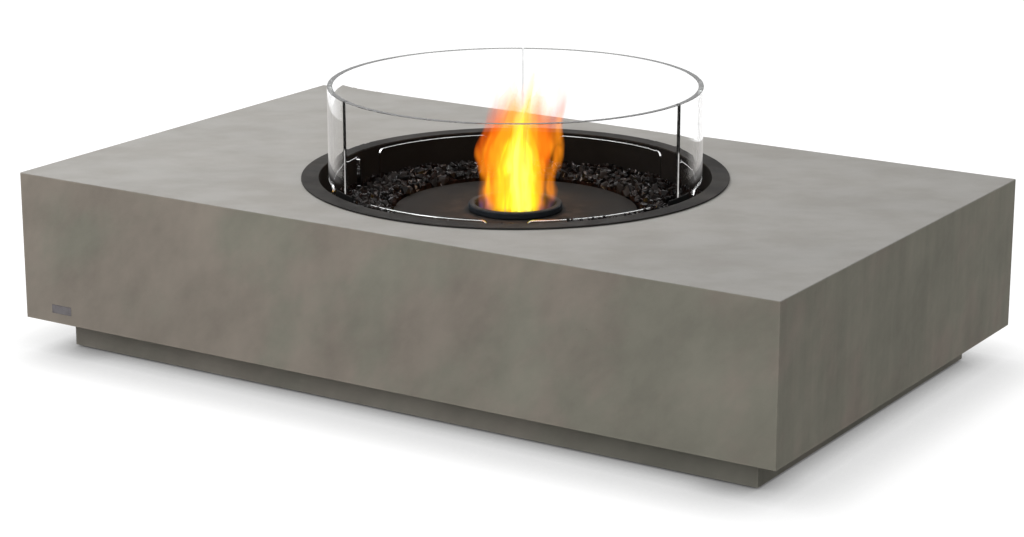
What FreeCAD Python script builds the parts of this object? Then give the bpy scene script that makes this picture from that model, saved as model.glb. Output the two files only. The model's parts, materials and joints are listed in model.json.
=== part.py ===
import FreeCAD, Part
import math
import os

import Sketcher
from FreeCAD import Vector

# A low rectangular fire pit table of cast concrete on a recessed plinth, with a round
# fire well in its top, a liquid-fuel burner in the well, black stones round the burner
# and a round glass screen of three curved panels.
#
# The origin is on the floor below the middle of the table. X runs along the table,
# Y from the front to the back and Z upwards. All lengths are in millimetres.

doc = FreeCAD.newDocument("fire_pit_table")
sizes = doc.addObject("Spreadsheet::Sheet", "sizes")

DRIVING_SIZES = [
    # The cast block and its plinth
    ("table_length", 1270),
    ("table_depth", 762),
    ("block_height", 225),
    ("shell_wall", 20),
    ("slab_thickness", 24),
    ("arris_radius", 1.5),
    ("plinth_inset", 51),
    ("plinth_height", 48.5),
    ("plinth_thickness", 18),
    ("floor_gap", 3),
    # The blank plate on the front
    ("badge_length", 37.5),
    ("badge_height", 13),
    ("badge_side_gap", 52),
    ("badge_bottom_gap", 15),
    ("badge_thickness", 1.2),
    ("badge_proud", 0.3),
    ("badge_clearance", 0.2),
    # The steel frame inside
    ("rail_width", 50),
    ("rail_height", 30),
    ("tube_wall", 2),
    ("bearer_from_end", 184),
    ("bearer_width", 40),
    ("bearer_height", 30),
    ("bearer_end_gap", 20),
    ("bearer_pad_thickness", 3),
    ("bearer_pad_length", 120),
    ("bracket_from_end", 44),
    ("bracket_width", 40),
    ("bracket_thickness", 3),
    ("bracket_leg", 45),
    ("bracket_overlap", 30),
    ("bolt_radius", 4),
    ("bolt_depth", 12),
    ("bolt_head_radius", 7.5),
    ("bolt_head_height", 5.3),
    ("bolt_clearance", 0.2),
    # The levelling feet
    ("foot_from_end", 104),
    ("foot_pad_radius", 25),
    ("foot_pad_height", 12),
    ("foot_pad_rim_height", 6),
    ("foot_pad_boss_radius", 15),
    ("foot_socket_depth", 8),
    ("stud_radius", 6),
    ("stud_collar_radius", 9.8),
    ("stud_collar_height", 6.9),
    ("stud_head_room", 1),
    ("insert_flange_radius", 13),
    ("insert_flange_thickness", 2),
    ("insert_barrel_radius", 9),
    ("insert_barrel_length", 20),
    ("insert_clearance", 0.1),
    ("running_clearance", 0.05),
    # The fire well
    ("glass_well_gap", 14.5),
    ("sheet_thickness", 2),
    ("flange_width", 26),
    ("gasket_thickness", 1),
    ("gasket_inset", 3),
    ("slab_hole_clearance", 4),
    ("shelf_drop", 58),
    ("burner_side_gap", 6),
    ("bucket_side_gap", 8),
    ("bucket_floor_gap", 6),
    ("bucket_sheet", 1.5),
    ("drain_radius", 10),
    # The burner
    ("burner_radius", 181.8),
    ("burner_drop", 50),
    ("burner_height", 154),
    ("burner_plate_thickness", 2),
    ("burner_rim_thickness", 2.5),
    ("burner_rim_overhang", 13.8),
    ("casing_wall", 1.5),
    ("mouth_radius", 62),
    ("tank_radius", 120),
    ("tank_floor_gap", 12),
    ("tank_wall", 1.5),
    ("wick_thickness", 70),
    ("wick_side_gap", 1),
    ("grille_thickness", 2),
    ("grille_ring_radius", 40),
    ("grille_hole_radius", 5),
    ("grille_hole_count", 12),
    ("collar_bore_radius", 60),
    ("collar_radius", 70),
    ("collar_height", 10.5),
    ("collar_sleeve_thickness", 1.5),
    ("collar_sleeve_depth", 28),
    ("collar_edge_radius", 2.5),
    ("seat_gap", 0.2),
    # The glass screen and its holders
    ("glass_radius", 277),
    ("glass_thickness", 8),
    ("glass_rise", 139.5),
    ("glass_edge_bevel", 1),
    ("seam_gap", 2),
    ("end_foot_angle", 12),
    ("middle_foot_angle", 11.5),
    ("air_gap_rise", 1.5),
    ("air_gap_corner_radius", 9),
    ("holder_angle", 12),
    ("holder_wall", 2),
    ("holder_clearance", 0.5),
    ("holder_outer_rise", 4.5),
    ("holder_inner_height", 38),
    ("strip_thickness", 1.5),
    # The stones
    ("stone_side_gap", 4),
    ("stone_edge_height", 8),
    ("stone_heap_height", 27),
    ("stone_front_height", 10),
    ("stone_heap_angle", 28),
]


def fill_sheet():
    """Write each driving size into the sheet under its own alias."""
    for row, (alias, value) in enumerate(DRIVING_SIZES, start=1):
        sizes.set("A%d" % row, alias)
        sizes.set("B%d" % row, str(value))
        sizes.setAlias("B%d" % row, alias)
    doc.recompute()


fill_sheet()


def named(name):
    """Give the expression for one size of the sheet."""
    return "sizes." + name


def plus(*terms):
    """Give an expression that adds its terms. Plain names are sizes of the sheet."""
    return "(" + " + ".join(term_text(term) for term in terms) + ")"


def minus(first, *others):
    """Give an expression that takes the other terms away from the first."""
    return "(" + " - ".join(term_text(term) for term in (first,) + others) + ")"


def times(factor, term):
    """Give an expression that multiplies a term by a plain number."""
    return "(%s * %s)" % (factor, term_text(term))


def term_text(term):
    """Turn a size's name, an expression or a number into expression text."""
    text = str(term)
    if text.isidentifier():
        return named(text)
    return text


def value_of(expression):
    """Work out an expression, as a plain number."""
    result = sizes.evalExpression(term_text(expression))
    return float(getattr(result, "Value", result))


def negative(term):
    """Give the expression with its sign changed."""
    return times(-1, term)


# Heights above the floor
BLOCK_BOTTOM = plus("floor_gap", "plinth_height")
TABLE_TOP = plus(BLOCK_BOTTOM, "block_height")
SLAB_UNDERSIDE = minus(TABLE_TOP, "slab_thickness")
RAIL_BOTTOM = minus(BLOCK_BOTTOM, "rail_height")
BEARER_TOP = minus(SLAB_UNDERSIDE, "bearer_pad_thickness")
BEARER_BOTTOM = minus(BEARER_TOP, "bearer_height")
SHELF_TOP = minus(TABLE_TOP, "shelf_drop")
SHELF_BOTTOM = minus(SHELF_TOP, "sheet_thickness")
BURNER_TOP = minus(TABLE_TOP, "burner_drop")
BURNER_BOTTOM = minus(BURNER_TOP, "burner_height")
PLATE_BOTTOM = minus(BURNER_TOP, "burner_plate_thickness")
HOLDER_FLOOR = plus(SHELF_TOP, "holder_wall")
GLASS_BOTTOM = plus(HOLDER_FLOOR, "strip_thickness", "seat_gap")
GLASS_TOP = plus(TABLE_TOP, "glass_rise")
AIR_GAP_TOP = plus(TABLE_TOP, "air_gap_rise")

# Half sizes and radii in plan
HALF_LENGTH = times(0.5, "table_length")
HALF_DEPTH = times(0.5, "table_depth")
WALL_INSIDE_X = minus(HALF_LENGTH, "shell_wall")
WALL_INSIDE_Y = minus(HALF_DEPTH, "shell_wall")
PLINTH_X = minus(HALF_LENGTH, "plinth_inset")
PLINTH_Y = minus(HALF_DEPTH, "plinth_inset")
RAIL_X = minus(PLINTH_X, "plinth_thickness")
RAIL_Y = minus(PLINTH_Y, "plinth_thickness")
RAIL_MIDDLE_Y = minus(RAIL_Y, times(0.5, "rail_width"))
FOOT_X = minus(PLINTH_X, "foot_from_end")
BEARER_X = minus(PLINTH_X, "bearer_from_end")
BRACKET_X = minus(PLINTH_X, "bracket_from_end")
WELL_RADIUS = plus("glass_radius", "glass_well_gap")
WELL_OUTSIDE = plus(WELL_RADIUS, "sheet_thickness")
FLANGE_OUTSIDE = plus(WELL_RADIUS, "flange_width")
CASING_RADIUS = minus("burner_radius", "burner_rim_overhang")
SHELF_HOLE = plus(CASING_RADIUS, "burner_side_gap")
BUCKET_RADIUS = plus(CASING_RADIUS, "bucket_side_gap")
GLASS_INSIDE = minus("glass_radius", "glass_thickness")

CORNERS = {
    "front_left": (-1, -1),
    "front_right": (1, -1),
    "back_left": (-1, 1),
    "back_right": (1, 1),
}

# Directions round the well, in degrees from the X axis
PANEL_DIRECTIONS = {"front": 300, "right": 60, "left": 180}
SEAM_DIRECTIONS = {"right": 0, "back": 120, "left": 240}
HALF_PANEL = 60
HEAPS_PER_PANEL = 4
HEXAGON_RISE = round(math.sin(math.radians(60)), 6)

# Two places nearer than this are the same place
TOUCH = 0.01

nodes = []


def keep(piece, label):
    """Give a finished piece its own label and put it on the list of nodes."""
    piece.Label = label
    nodes.append(piece)
    return piece


def new_body(name):
    """Start an empty body."""
    return doc.addObject("PartDesign::Body", name + "_body")


def origin_plane(body, role):
    """Find one of a body's own origin planes."""
    for feature in body.Origin.OriginFeatures:
        if feature.Role == role:
            return feature
    raise ValueError("no origin plane " + role)


def new_sketch(body, name, role="XY_Plane", offset="0"):
    """Attach a sketch to an origin plane of its body, moved along the plane's normal."""
    sketch = body.newObject("Sketcher::SketchObject", name)
    sketch.AttachmentSupport = [(origin_plane(body, role), "")]
    sketch.MapMode = "FlatFace"
    sketch.setExpression("AttachmentOffset.Base.z", term_text(offset))
    return sketch


def bind(sketch, kind, *where_and_value):
    """Add a dimension to a sketch and tie its value to an expression."""
    *where, expression = where_and_value
    number = sketch.addConstraint(Sketcher.Constraint(kind, *where, start_value(kind, expression)))
    title = "%s_%d" % (kind.lower(), number)
    sketch.renameConstraint(number, title)
    sketch.setExpression("Constraints." + title, term_text(expression))


def start_value(kind, expression):
    """Give a dimension's first value, with angles in radians."""
    value = value_of(expression)
    return math.radians(value) if kind == "Angle" else value


def draw_polygon(sketch, points):
    """Draw a closed outline through points whose two coordinates are expressions."""
    places = [Vector(value_of(u), value_of(v), 0) for u, v in points]
    first = sketch.GeometryCount
    count = len(points)
    for index in range(count):
        sketch.addGeometry(Part.LineSegment(places[index], places[(index + 1) % count]), False)
    for index, (u, v) in enumerate(points):
        line = first + index
        line_before = first + (index - 1) % count
        sketch.addConstraint(Sketcher.Constraint("Coincident", line_before, 2, line, 1))
        if str(u) == "0":
            sketch.addConstraint(Sketcher.Constraint("PointOnObject", line, 1, -2))
        else:
            bind(sketch, "DistanceX", -1, 1, line, 1, u)
        if str(v) == "0":
            sketch.addConstraint(Sketcher.Constraint("PointOnObject", line, 1, -1))
        else:
            bind(sketch, "DistanceY", -1, 1, line, 1, v)


def draw_circle(sketch, u, v, radius):
    """Draw a circle whose centre and radius are expressions."""
    centre = Vector(value_of(u), value_of(v), 0)
    circle = sketch.addGeometry(Part.Circle(centre, Vector(0, 0, 1), value_of(radius)), False)
    bind(sketch, "Radius", circle, radius)
    if str(u) == "0" and str(v) == "0":
        sketch.addConstraint(Sketcher.Constraint("Coincident", circle, 3, -1, 1))
        return
    if str(u) == "0":
        sketch.addConstraint(Sketcher.Constraint("PointOnObject", circle, 3, -2))
    else:
        bind(sketch, "DistanceX", -1, 1, circle, 3, u)
    bind(sketch, "DistanceY", -1, 1, circle, 3, v)


def draw_ring_sector(sketch, inner, outer, start, end, trim="0"):
    """Draw a piece of a ring between two directions, in degrees.

    The two straight ends are parallel to the ring's radii and lie "trim" inside them.
    """
    r_inner = value_of(inner)
    r_outer = value_of(outer)
    cut = value_of(trim)
    begin = math.radians(value_of(start))
    stop = math.radians(value_of(end))
    spans = []
    for radius in (r_inner, r_outer):
        lean = math.asin(cut / radius)
        spans.append((radius, begin + lean, stop - lean))
    arcs = []
    for radius, low, high in spans:
        circle = Part.Circle(Vector(0, 0, 0), Vector(0, 0, 1), radius)
        arcs.append(sketch.addGeometry(Part.ArcOfCircle(circle, low, high), False))
    (inner_arc, outer_arc) = arcs
    ends = []
    for side in (1, 2):
        corners = [Vector(radius * math.cos(span[side - 1]), radius * math.sin(span[side - 1]), 0)
                   for radius, span in ((r_inner, spans[0][1:]), (r_outer, spans[1][1:]))]
        line = sketch.addGeometry(Part.LineSegment(*corners), False)
        sketch.addConstraint(Sketcher.Constraint("Coincident", inner_arc, side, line, 1))
        sketch.addConstraint(Sketcher.Constraint("Coincident", outer_arc, side, line, 2))
        ends.append(line)
    for arc in arcs:
        sketch.addConstraint(Sketcher.Constraint("Coincident", arc, 3, -1, 1))
    bind(sketch, "Radius", inner_arc, inner)
    bind(sketch, "Radius", outer_arc, outer)
    for line, direction in zip(ends, (start, end)):
        bind(sketch, "Angle", -1, 1, line, 1, direction)
        if str(trim) == "0":
            sketch.addConstraint(Sketcher.Constraint("PointOnObject", -1, 1, line))
        else:
            bind(sketch, "Distance", -1, 1, line, trim)


def pad(body, sketch, length):
    """Raise a sketch to a solid."""
    feature = body.newObject("PartDesign::Pad", "pad_" + sketch.Name)
    feature.Profile = sketch
    feature.setExpression("Length", term_text(length))
    doc.recompute()


def pocket(body, sketch, length, midplane=False, forward=False):
    """Cut a sketch's shape out of the body, and make sure that something was cut."""
    before = body.Shape.Volume
    feature = body.newObject("PartDesign::Pocket", "pocket_" + sketch.Name)
    feature.Profile = sketch
    feature.SideType = "Symmetric" if midplane else "One side"
    feature.Reversed = forward
    feature.setExpression("Length", term_text(length))
    doc.recompute()
    if not body.Shape.Volume < before:
        raise RuntimeError("nothing was cut by " + sketch.Name)
    return feature


def work_edges(body, name, kind, measure, size, wanted):
    """Round or chamfer the edges of the body's last feature for which wanted(edge) is true."""
    base = body.Tip
    picked = ["Edge%d" % (number + 1) for number, edge in enumerate(base.Shape.Edges) if wanted(edge)]
    if not picked:
        raise RuntimeError("no edge to work for " + name)
    feature = body.newObject(kind, name)
    feature.Base = (base, picked)
    feature.setExpression(measure, term_text(size))
    doc.recompute()


def round_edges(body, name, radius, wanted):
    """Round some edges of a body."""
    work_edges(body, name, "PartDesign::Fillet", "Radius", radius, wanted)


def bevel_edges(body, name, size, wanted):
    """Chamfer some edges of a body."""
    work_edges(body, name, "PartDesign::Chamfer", "Size", size, wanted)


def is_level_at(edge, height):
    """Tell whether an edge lies level at a height."""
    box = edge.BoundBox
    return box.ZLength < TOUCH and abs(box.ZMin - height) < TOUCH


def turned(label, profile, start=None, sweep=None):
    """Turn a profile of (radius, height) points round the Z axis."""
    body = new_body(label)
    sketch = new_sketch(body, label + "_profile", "XZ_Plane")
    draw_polygon(sketch, profile)
    revolution = body.newObject("PartDesign::Revolution", label + "_revolution")
    revolution.Profile = sketch
    revolution.ReferenceAxis = (sketch, ["V_Axis"])
    if sweep is None:
        revolution.Angle = 360
    else:
        revolution.setExpression("Angle", term_text(sweep))
    if start is not None:
        body.Placement.Rotation = FreeCAD.Rotation(Vector(0, 0, 1), 0)
        body.setExpression("Placement.Rotation.Angle", term_text(start))
    doc.recompute()
    return body


def ring_profile(inner, outer, low, high):
    """Give the profile of a plain ring or tube."""
    return [(inner, low), (outer, low), (outer, high), (inner, high)]


def prism(label, role, outline, start, length, hole=None):
    """Raise an outline from a plane at a distance from the origin, with an inner outline cut out."""
    body = new_body(label)
    sketch = new_sketch(body, label + "_outline", role, start)
    draw_polygon(sketch, outline)
    if hole:
        draw_polygon(sketch, hole)
    pad(body, sketch, length)
    return body


def rectangle(u_low, u_high, v_low, v_high):
    """Give a rectangle's corners as an outline."""
    return [(u_low, v_low), (u_high, v_low), (u_high, v_high), (u_low, v_high)]


def inset_rectangle(u_low, u_high, v_low, v_high, wall):
    """Give a rectangle that lies one wall thickness inside another."""
    return rectangle(plus(u_low, wall), minus(u_high, wall), plus(v_low, wall), minus(v_high, wall))


def square_tube(label, role, u_low, u_high, v_low, v_high, start, length):
    """Make a length of rectangular steel tube."""
    outside = (u_low, u_high, v_low, v_high)
    return prism(label, role, rectangle(*outside), start, length,
                 hole=inset_rectangle(*outside, wall="tube_wall"))


def mirrored(piece, name, normal):
    """Mirror a piece in the plane through the origin with this normal."""
    copy = doc.addObject("Part::Mirroring", name)
    copy.Source = piece
    copy.Base = Vector(0, 0, 0)
    copy.Normal = normal
    return copy


def group(label, pieces):
    """Join separate solids into one node without fusing them."""
    compound = doc.addObject("Part::Compound", label + "_group")
    compound.Links = pieces
    doc.recompute()
    return keep(compound, label)


def at_four_corners(label, piece):
    """Repeat a piece in the four quarters of the table."""
    across = mirrored(piece, label + "_across", Vector(1, 0, 0))
    behind = mirrored(piece, label + "_behind", Vector(0, 1, 0))
    opposite = mirrored(across, label + "_opposite", Vector(0, 1, 0))
    return group(label, [piece, across, behind, opposite])


def cut_away(label, base, tools):
    """Cut tools out of a base, and make sure that something was cut."""
    doc.recompute()
    before = base.Shape.Volume
    result = base
    for number, tool in enumerate(tools):
        cut = doc.addObject("Part::Cut", "%s_cut_%d" % (label, number))
        cut.Base = result
        cut.Tool = tool
        result = cut
    doc.recompute()
    if not result.Shape.Volume < before:
        raise RuntimeError("nothing was cut from " + label)
    return result


def cylinder(name, radius, height, x="0", y="0", z="0"):
    """Make a plain upright cylinder."""
    solid = doc.addObject("Part::Cylinder", name)
    solid.setExpression("Radius", term_text(radius))
    solid.setExpression("Height", term_text(height))
    place(solid, x, y, z)
    return solid


def place(piece, x, y, z="0"):
    """Tie a piece's place to expressions."""
    piece.setExpression("Placement.Base.x", term_text(x))
    piece.setExpression("Placement.Base.y", term_text(y))
    piece.setExpression("Placement.Base.z", term_text(z))


def signed(sign, term):
    """Give a term its sign for one side of the table."""
    return term if sign > 0 else negative(term)


# The concrete block

def concrete_shell():
    """The cast block: four walls and a top slab in one piece, open below."""
    body = new_body("concrete_shell")
    outline = new_sketch(body, "shell_outline", offset=BLOCK_BOTTOM)
    draw_polygon(outline, rectangle(negative(HALF_LENGTH), HALF_LENGTH, negative(HALF_DEPTH), HALF_DEPTH))
    pad(body, outline, "block_height")
    cavity = new_sketch(body, "shell_cavity", offset=BLOCK_BOTTOM)
    draw_polygon(cavity, rectangle(negative(WALL_INSIDE_X), WALL_INSIDE_X,
                                   negative(WALL_INSIDE_Y), WALL_INSIDE_Y))
    pocket(body, cavity, minus("block_height", "slab_thickness"), forward=True)
    hole = new_sketch(body, "shell_hole", offset=TABLE_TOP)
    draw_circle(hole, "0", "0", plus(WELL_OUTSIDE, "slab_hole_clearance"))
    pocket(body, hole, "slab_thickness")
    cut_anchor_holes(body)
    cut_badge_recess(body)
    round_edges(body, "shell_arris", "arris_radius", is_outer_arris)
    return keep(body, "concrete_shell")


def cut_anchor_holes(body):
    """Blind holes for the bracket bolts, in the inner faces of the long walls."""
    sketch = new_sketch(body, "anchor_holes", "XZ_Plane")
    for side in (-1, 1):
        draw_circle(sketch, signed(side, BRACKET_X), BOLT_HEIGHT, BOLT_HOLE)
    pocket(body, sketch, times(2, plus(WALL_INSIDE_Y, "bolt_depth", "bolt_clearance")), midplane=True)


def cut_badge_recess(body):
    """A shallow recess for the blank plate, low on the front face."""
    sketch = new_sketch(body, "badge_recess", "XZ_Plane", HALF_DEPTH)
    draw_polygon(sketch, rectangle(minus(BADGE_LEFT, "badge_clearance"),
                                   plus(BADGE_LEFT, "badge_length", "badge_clearance"),
                                   minus(BADGE_BOTTOM, "badge_clearance"),
                                   plus(BADGE_BOTTOM, "badge_height", "badge_clearance")))
    pocket(body, sketch, minus("badge_thickness", "badge_proud"))


def is_outer_arris(edge):
    """Tell whether an edge is one of the block's outer upright or top edges."""
    half_length = value_of(HALF_LENGTH)
    half_depth = value_of(HALF_DEPTH)
    top = value_of(TABLE_TOP)
    ends = [vertex.Point for vertex in edge.Vertexes]
    if len(ends) != 2:
        return False
    at_x = [abs(abs(end.x) - half_length) < TOUCH for end in ends]
    at_y = [abs(abs(end.y) - half_depth) < TOUCH for end in ends]
    at_top = [abs(end.z - top) < TOUCH for end in ends]
    upright = all(at_x) and all(at_y) and abs(ends[0].z - ends[1].z) > TOUCH
    return upright or (all(at_top) and (all(at_x) or all(at_y)))


BOLT_HEIGHT = plus(BLOCK_BOTTOM, times(0.5, "bracket_leg"))
BOLT_HOLE = plus("bolt_radius", "bolt_clearance")
BADGE_LEFT = plus(negative(HALF_LENGTH), "badge_side_gap")
BADGE_BOTTOM = plus(BLOCK_BOTTOM, "badge_bottom_gap")


def badge_plate():
    """A small blank metal plate let into the front face."""
    badge = prism("badge_plate", "XZ_Plane",
                  rectangle(BADGE_LEFT, plus(BADGE_LEFT, "badge_length"),
                            BADGE_BOTTOM, plus(BADGE_BOTTOM, "badge_height")),
                  minus(HALF_DEPTH, minus("badge_thickness", "badge_proud")), "badge_thickness")
    keep(badge, "badge_plate")


def plinth_panels():
    """Four concrete boards round the base, mitred at the corners."""
    inner_x = minus(PLINTH_X, "plinth_thickness")
    inner_y = minus(PLINTH_Y, "plinth_thickness")
    for name, side in (("plinth_front", -1), ("plinth_back", 1)):
        outline = [(negative(PLINTH_X), signed(side, PLINTH_Y)), (PLINTH_X, signed(side, PLINTH_Y)),
                   (inner_x, signed(side, inner_y)), (negative(inner_x), signed(side, inner_y))]
        keep(prism(name, "XY_Plane", outline, "floor_gap", "plinth_height"), name)
    for name, side in (("plinth_left", -1), ("plinth_right", 1)):
        outline = [(signed(side, PLINTH_X), negative(PLINTH_Y)), (signed(side, PLINTH_X), PLINTH_Y),
                   (signed(side, inner_x), inner_y), (signed(side, inner_x), negative(inner_y))]
        keep(prism(name, "XY_Plane", outline, "floor_gap", "plinth_height"), name)


# The steel frame

def long_rails():
    """The front and back rails, with a hole for each foot's insert."""
    for name, side in (("rail_front", -1), ("rail_back", 1)):
        near = signed(side, minus(RAIL_Y, "rail_width"))
        far = signed(side, RAIL_Y)
        low, high = (far, near) if side < 0 else (near, far)
        tube = square_tube(name, "YZ_Plane", low, high, RAIL_BOTTOM, BLOCK_BOTTOM,
                           negative(RAIL_X), times(2, RAIL_X))
        holes = [cylinder("%s_hole_%d" % (name, number), plus("insert_barrel_radius", "insert_clearance"),
                          times(3, "tube_wall"), signed(end, FOOT_X), signed(side, RAIL_MIDDLE_Y),
                          minus(RAIL_BOTTOM, "tube_wall"))
                 for number, end in enumerate((-1, 1))]
        keep(cut_away(name, tube, holes), name)


def short_rails():
    """The two end rails between the long ones."""
    half = minus(RAIL_Y, "rail_width")
    for name, side in (("rail_left", -1), ("rail_right", 1)):
        near = signed(side, minus(RAIL_X, "rail_width"))
        far = signed(side, RAIL_X)
        low, high = (far, near) if side < 0 else (near, far)
        keep(square_tube(name, "XZ_Plane", low, high, RAIL_BOTTOM, BLOCK_BOTTOM,
                         negative(half), times(2, half)), name)


def posts_and_bearers():
    """Four posts on the long rails carry two bearers across the block, padded under the slab."""
    half_width = times(0.5, "bearer_width")
    left = minus(BEARER_X, half_width)
    right = plus(BEARER_X, half_width)
    post = square_tube("post", "XY_Plane", left, right, minus(RAIL_MIDDLE_Y, half_width),
                       plus(RAIL_MIDDLE_Y, half_width), BLOCK_BOTTOM, minus(BEARER_BOTTOM, BLOCK_BOTTOM))
    at_four_corners("frame_posts", post)
    half_span = minus(WALL_INSIDE_Y, "bearer_end_gap")
    for name, side in (("bearer_left", -1), ("bearer_right", 1)):
        low, high = (negative(right), negative(left)) if side < 0 else (left, right)
        keep(square_tube(name, "XZ_Plane", low, high, BEARER_BOTTOM, BEARER_TOP,
                         negative(half_span), times(2, half_span)), name)
    strip = prism("bearer_pad", "XY_Plane",
                  rectangle(left, right, minus(half_span, "bearer_pad_length"), half_span),
                  BEARER_TOP, "bearer_pad_thickness")
    at_four_corners("bearer_pads", strip)


def shell_brackets():
    """Four angle brackets from the long rails to the walls, each with a bolt into its wall."""
    inner = minus(RAIL_Y, "bracket_overlap")
    thickness = "bracket_thickness"
    leg_top = plus(BLOCK_BOTTOM, "bracket_leg")
    profile = [(inner, BLOCK_BOTTOM), (WALL_INSIDE_Y, BLOCK_BOTTOM), (WALL_INSIDE_Y, leg_top),
               (minus(WALL_INSIDE_Y, thickness), leg_top),
               (minus(WALL_INSIDE_Y, thickness), plus(BLOCK_BOTTOM, thickness)),
               (inner, plus(BLOCK_BOTTOM, thickness))]
    start = minus(BRACKET_X, times(0.5, "bracket_width"))
    angle = prism("bracket", "YZ_Plane", profile, start, "bracket_width")
    hole = cylinder("bracket_hole", BOLT_HOLE, times(3, thickness))
    hole.Placement.Rotation = FreeCAD.Rotation(Vector(1, 0, 0), -90)
    place(hole, BRACKET_X, minus(WALL_INSIDE_Y, times(2, thickness)), BOLT_HEIGHT)
    at_four_corners("shell_brackets", cut_away("bracket", angle, [hole]))
    shank = cylinder("bolt_shank", "bolt_radius", plus("bolt_depth", thickness))
    shank.Placement.Rotation = FreeCAD.Rotation(Vector(1, 0, 0), -90)
    place(shank, BRACKET_X, minus(WALL_INSIDE_Y, thickness), BOLT_HEIGHT)
    head = doc.addObject("Part::Prism", "bolt_head")
    head.Polygon = 6
    head.setExpression("Circumradius", named("bolt_head_radius"))
    head.setExpression("Height", named("bolt_head_height"))
    head.Placement.Rotation = FreeCAD.Rotation(Vector(1, 0, 0), 90)
    place(head, BRACKET_X, minus(WALL_INSIDE_Y, thickness), BOLT_HEIGHT)
    bolt = doc.addObject("Part::Fuse", "bolt")
    bolt.Base = shank
    bolt.Tool = head
    at_four_corners("bracket_bolts", bolt)


# The levelling feet

def levelling_feet():
    """Four threaded inserts in the rails, each with a stud and a round pad."""
    barrel_top = plus(RAIL_BOTTOM, "insert_barrel_length")
    flange_bottom = minus(RAIL_BOTTOM, "insert_flange_thickness")
    bore = plus("stud_radius", "running_clearance")
    insert = turned("insert", [(bore, flange_bottom), ("insert_flange_radius", flange_bottom),
                               ("insert_flange_radius", RAIL_BOTTOM),
                               ("insert_barrel_radius", RAIL_BOTTOM),
                               ("insert_barrel_radius", barrel_top), (bore, barrel_top)])
    place(insert, FOOT_X, RAIL_MIDDLE_Y)
    at_four_corners("foot_inserts", insert)
    for corner, (side, end) in CORNERS.items():
        x = signed(side, FOOT_X)
        y = signed(end, RAIL_MIDDLE_Y)
        foot_pad(corner, x, y)
        foot_stud(corner, x, y)


def foot_pad(corner, x, y):
    """The round pad, with a socket for the end of the stud."""
    label = "foot_pad_" + corner
    socket = plus("stud_radius", "running_clearance")
    socket_floor = minus("foot_pad_height", "foot_socket_depth")
    pad_body = turned(label, [("0", "0"), ("foot_pad_radius", "0"),
                              ("foot_pad_radius", "foot_pad_rim_height"),
                              ("foot_pad_boss_radius", "foot_pad_height"),
                              (socket, "foot_pad_height"), (socket, socket_floor), ("0", socket_floor)])
    place(pad_body, x, y)
    keep(pad_body, label)


def foot_stud(corner, x, y):
    """The stud, with a six-sided collar under the insert for a spanner."""
    label = "foot_stud_" + corner
    collar_low = plus("foot_pad_height", "seat_gap")
    stud_low = plus(minus("foot_pad_height", "foot_socket_depth"), "seat_gap")
    stud_top = minus(BLOCK_BOTTOM, "tube_wall", "stud_head_room")
    body = new_body(label)
    shank = new_sketch(body, label + "_shank", offset=stud_low)
    draw_circle(shank, "0", "0", "stud_radius")
    pad(body, shank, minus(stud_top, stud_low))
    collar = new_sketch(body, label + "_collar", offset=collar_low)
    draw_hexagon(collar, "stud_collar_radius")
    pad(body, collar, "stud_collar_height")
    place(body, x, y)
    keep(body, label)


def draw_hexagon(sketch, radius):
    """Draw a regular six-sided outline round the sketch's origin."""
    half = times(0.5, radius)
    rise = times(HEXAGON_RISE, radius)
    draw_polygon(sketch, [(radius, "0"), (half, rise), (negative(half), rise), (negative(radius), "0"),
                          (negative(half), negative(rise)), (half, negative(rise))])


# The fire well

def fire_well():
    """The steel lining: a flange on the slab, a wall, a shelf for the stones and a deep bucket."""
    gasket_top = plus(TABLE_TOP, "gasket_thickness")
    flange_top = plus(gasket_top, "sheet_thickness")
    gasket_inner = plus(WELL_OUTSIDE, "slab_hole_clearance")
    keep(turned("flange_gasket", ring_profile(gasket_inner, minus(FLANGE_OUTSIDE, "gasket_inset"),
                                              TABLE_TOP, gasket_top)), "flange_gasket")
    keep(turned("well_flange", ring_profile(WELL_RADIUS, FLANGE_OUTSIDE, gasket_top, flange_top)),
         "well_flange")
    keep(turned("well_wall", ring_profile(WELL_RADIUS, WELL_OUTSIDE, SHELF_TOP, gasket_top)), "well_wall")
    keep(turned("stone_shelf", ring_profile(SHELF_HOLE, WELL_OUTSIDE, SHELF_BOTTOM, SHELF_TOP)),
         "stone_shelf")
    floor_top = minus(BURNER_BOTTOM, "bucket_floor_gap")
    floor_bottom = minus(floor_top, "bucket_sheet")
    outside = plus(BUCKET_RADIUS, "bucket_sheet")
    keep(turned("burner_bucket", [("drain_radius", floor_bottom), (outside, floor_bottom),
                                  (outside, SHELF_BOTTOM), (BUCKET_RADIUS, SHELF_BOTTOM),
                                  (BUCKET_RADIUS, floor_top), ("drain_radius", floor_top)]),
         "burner_bucket")


# The burner

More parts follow.
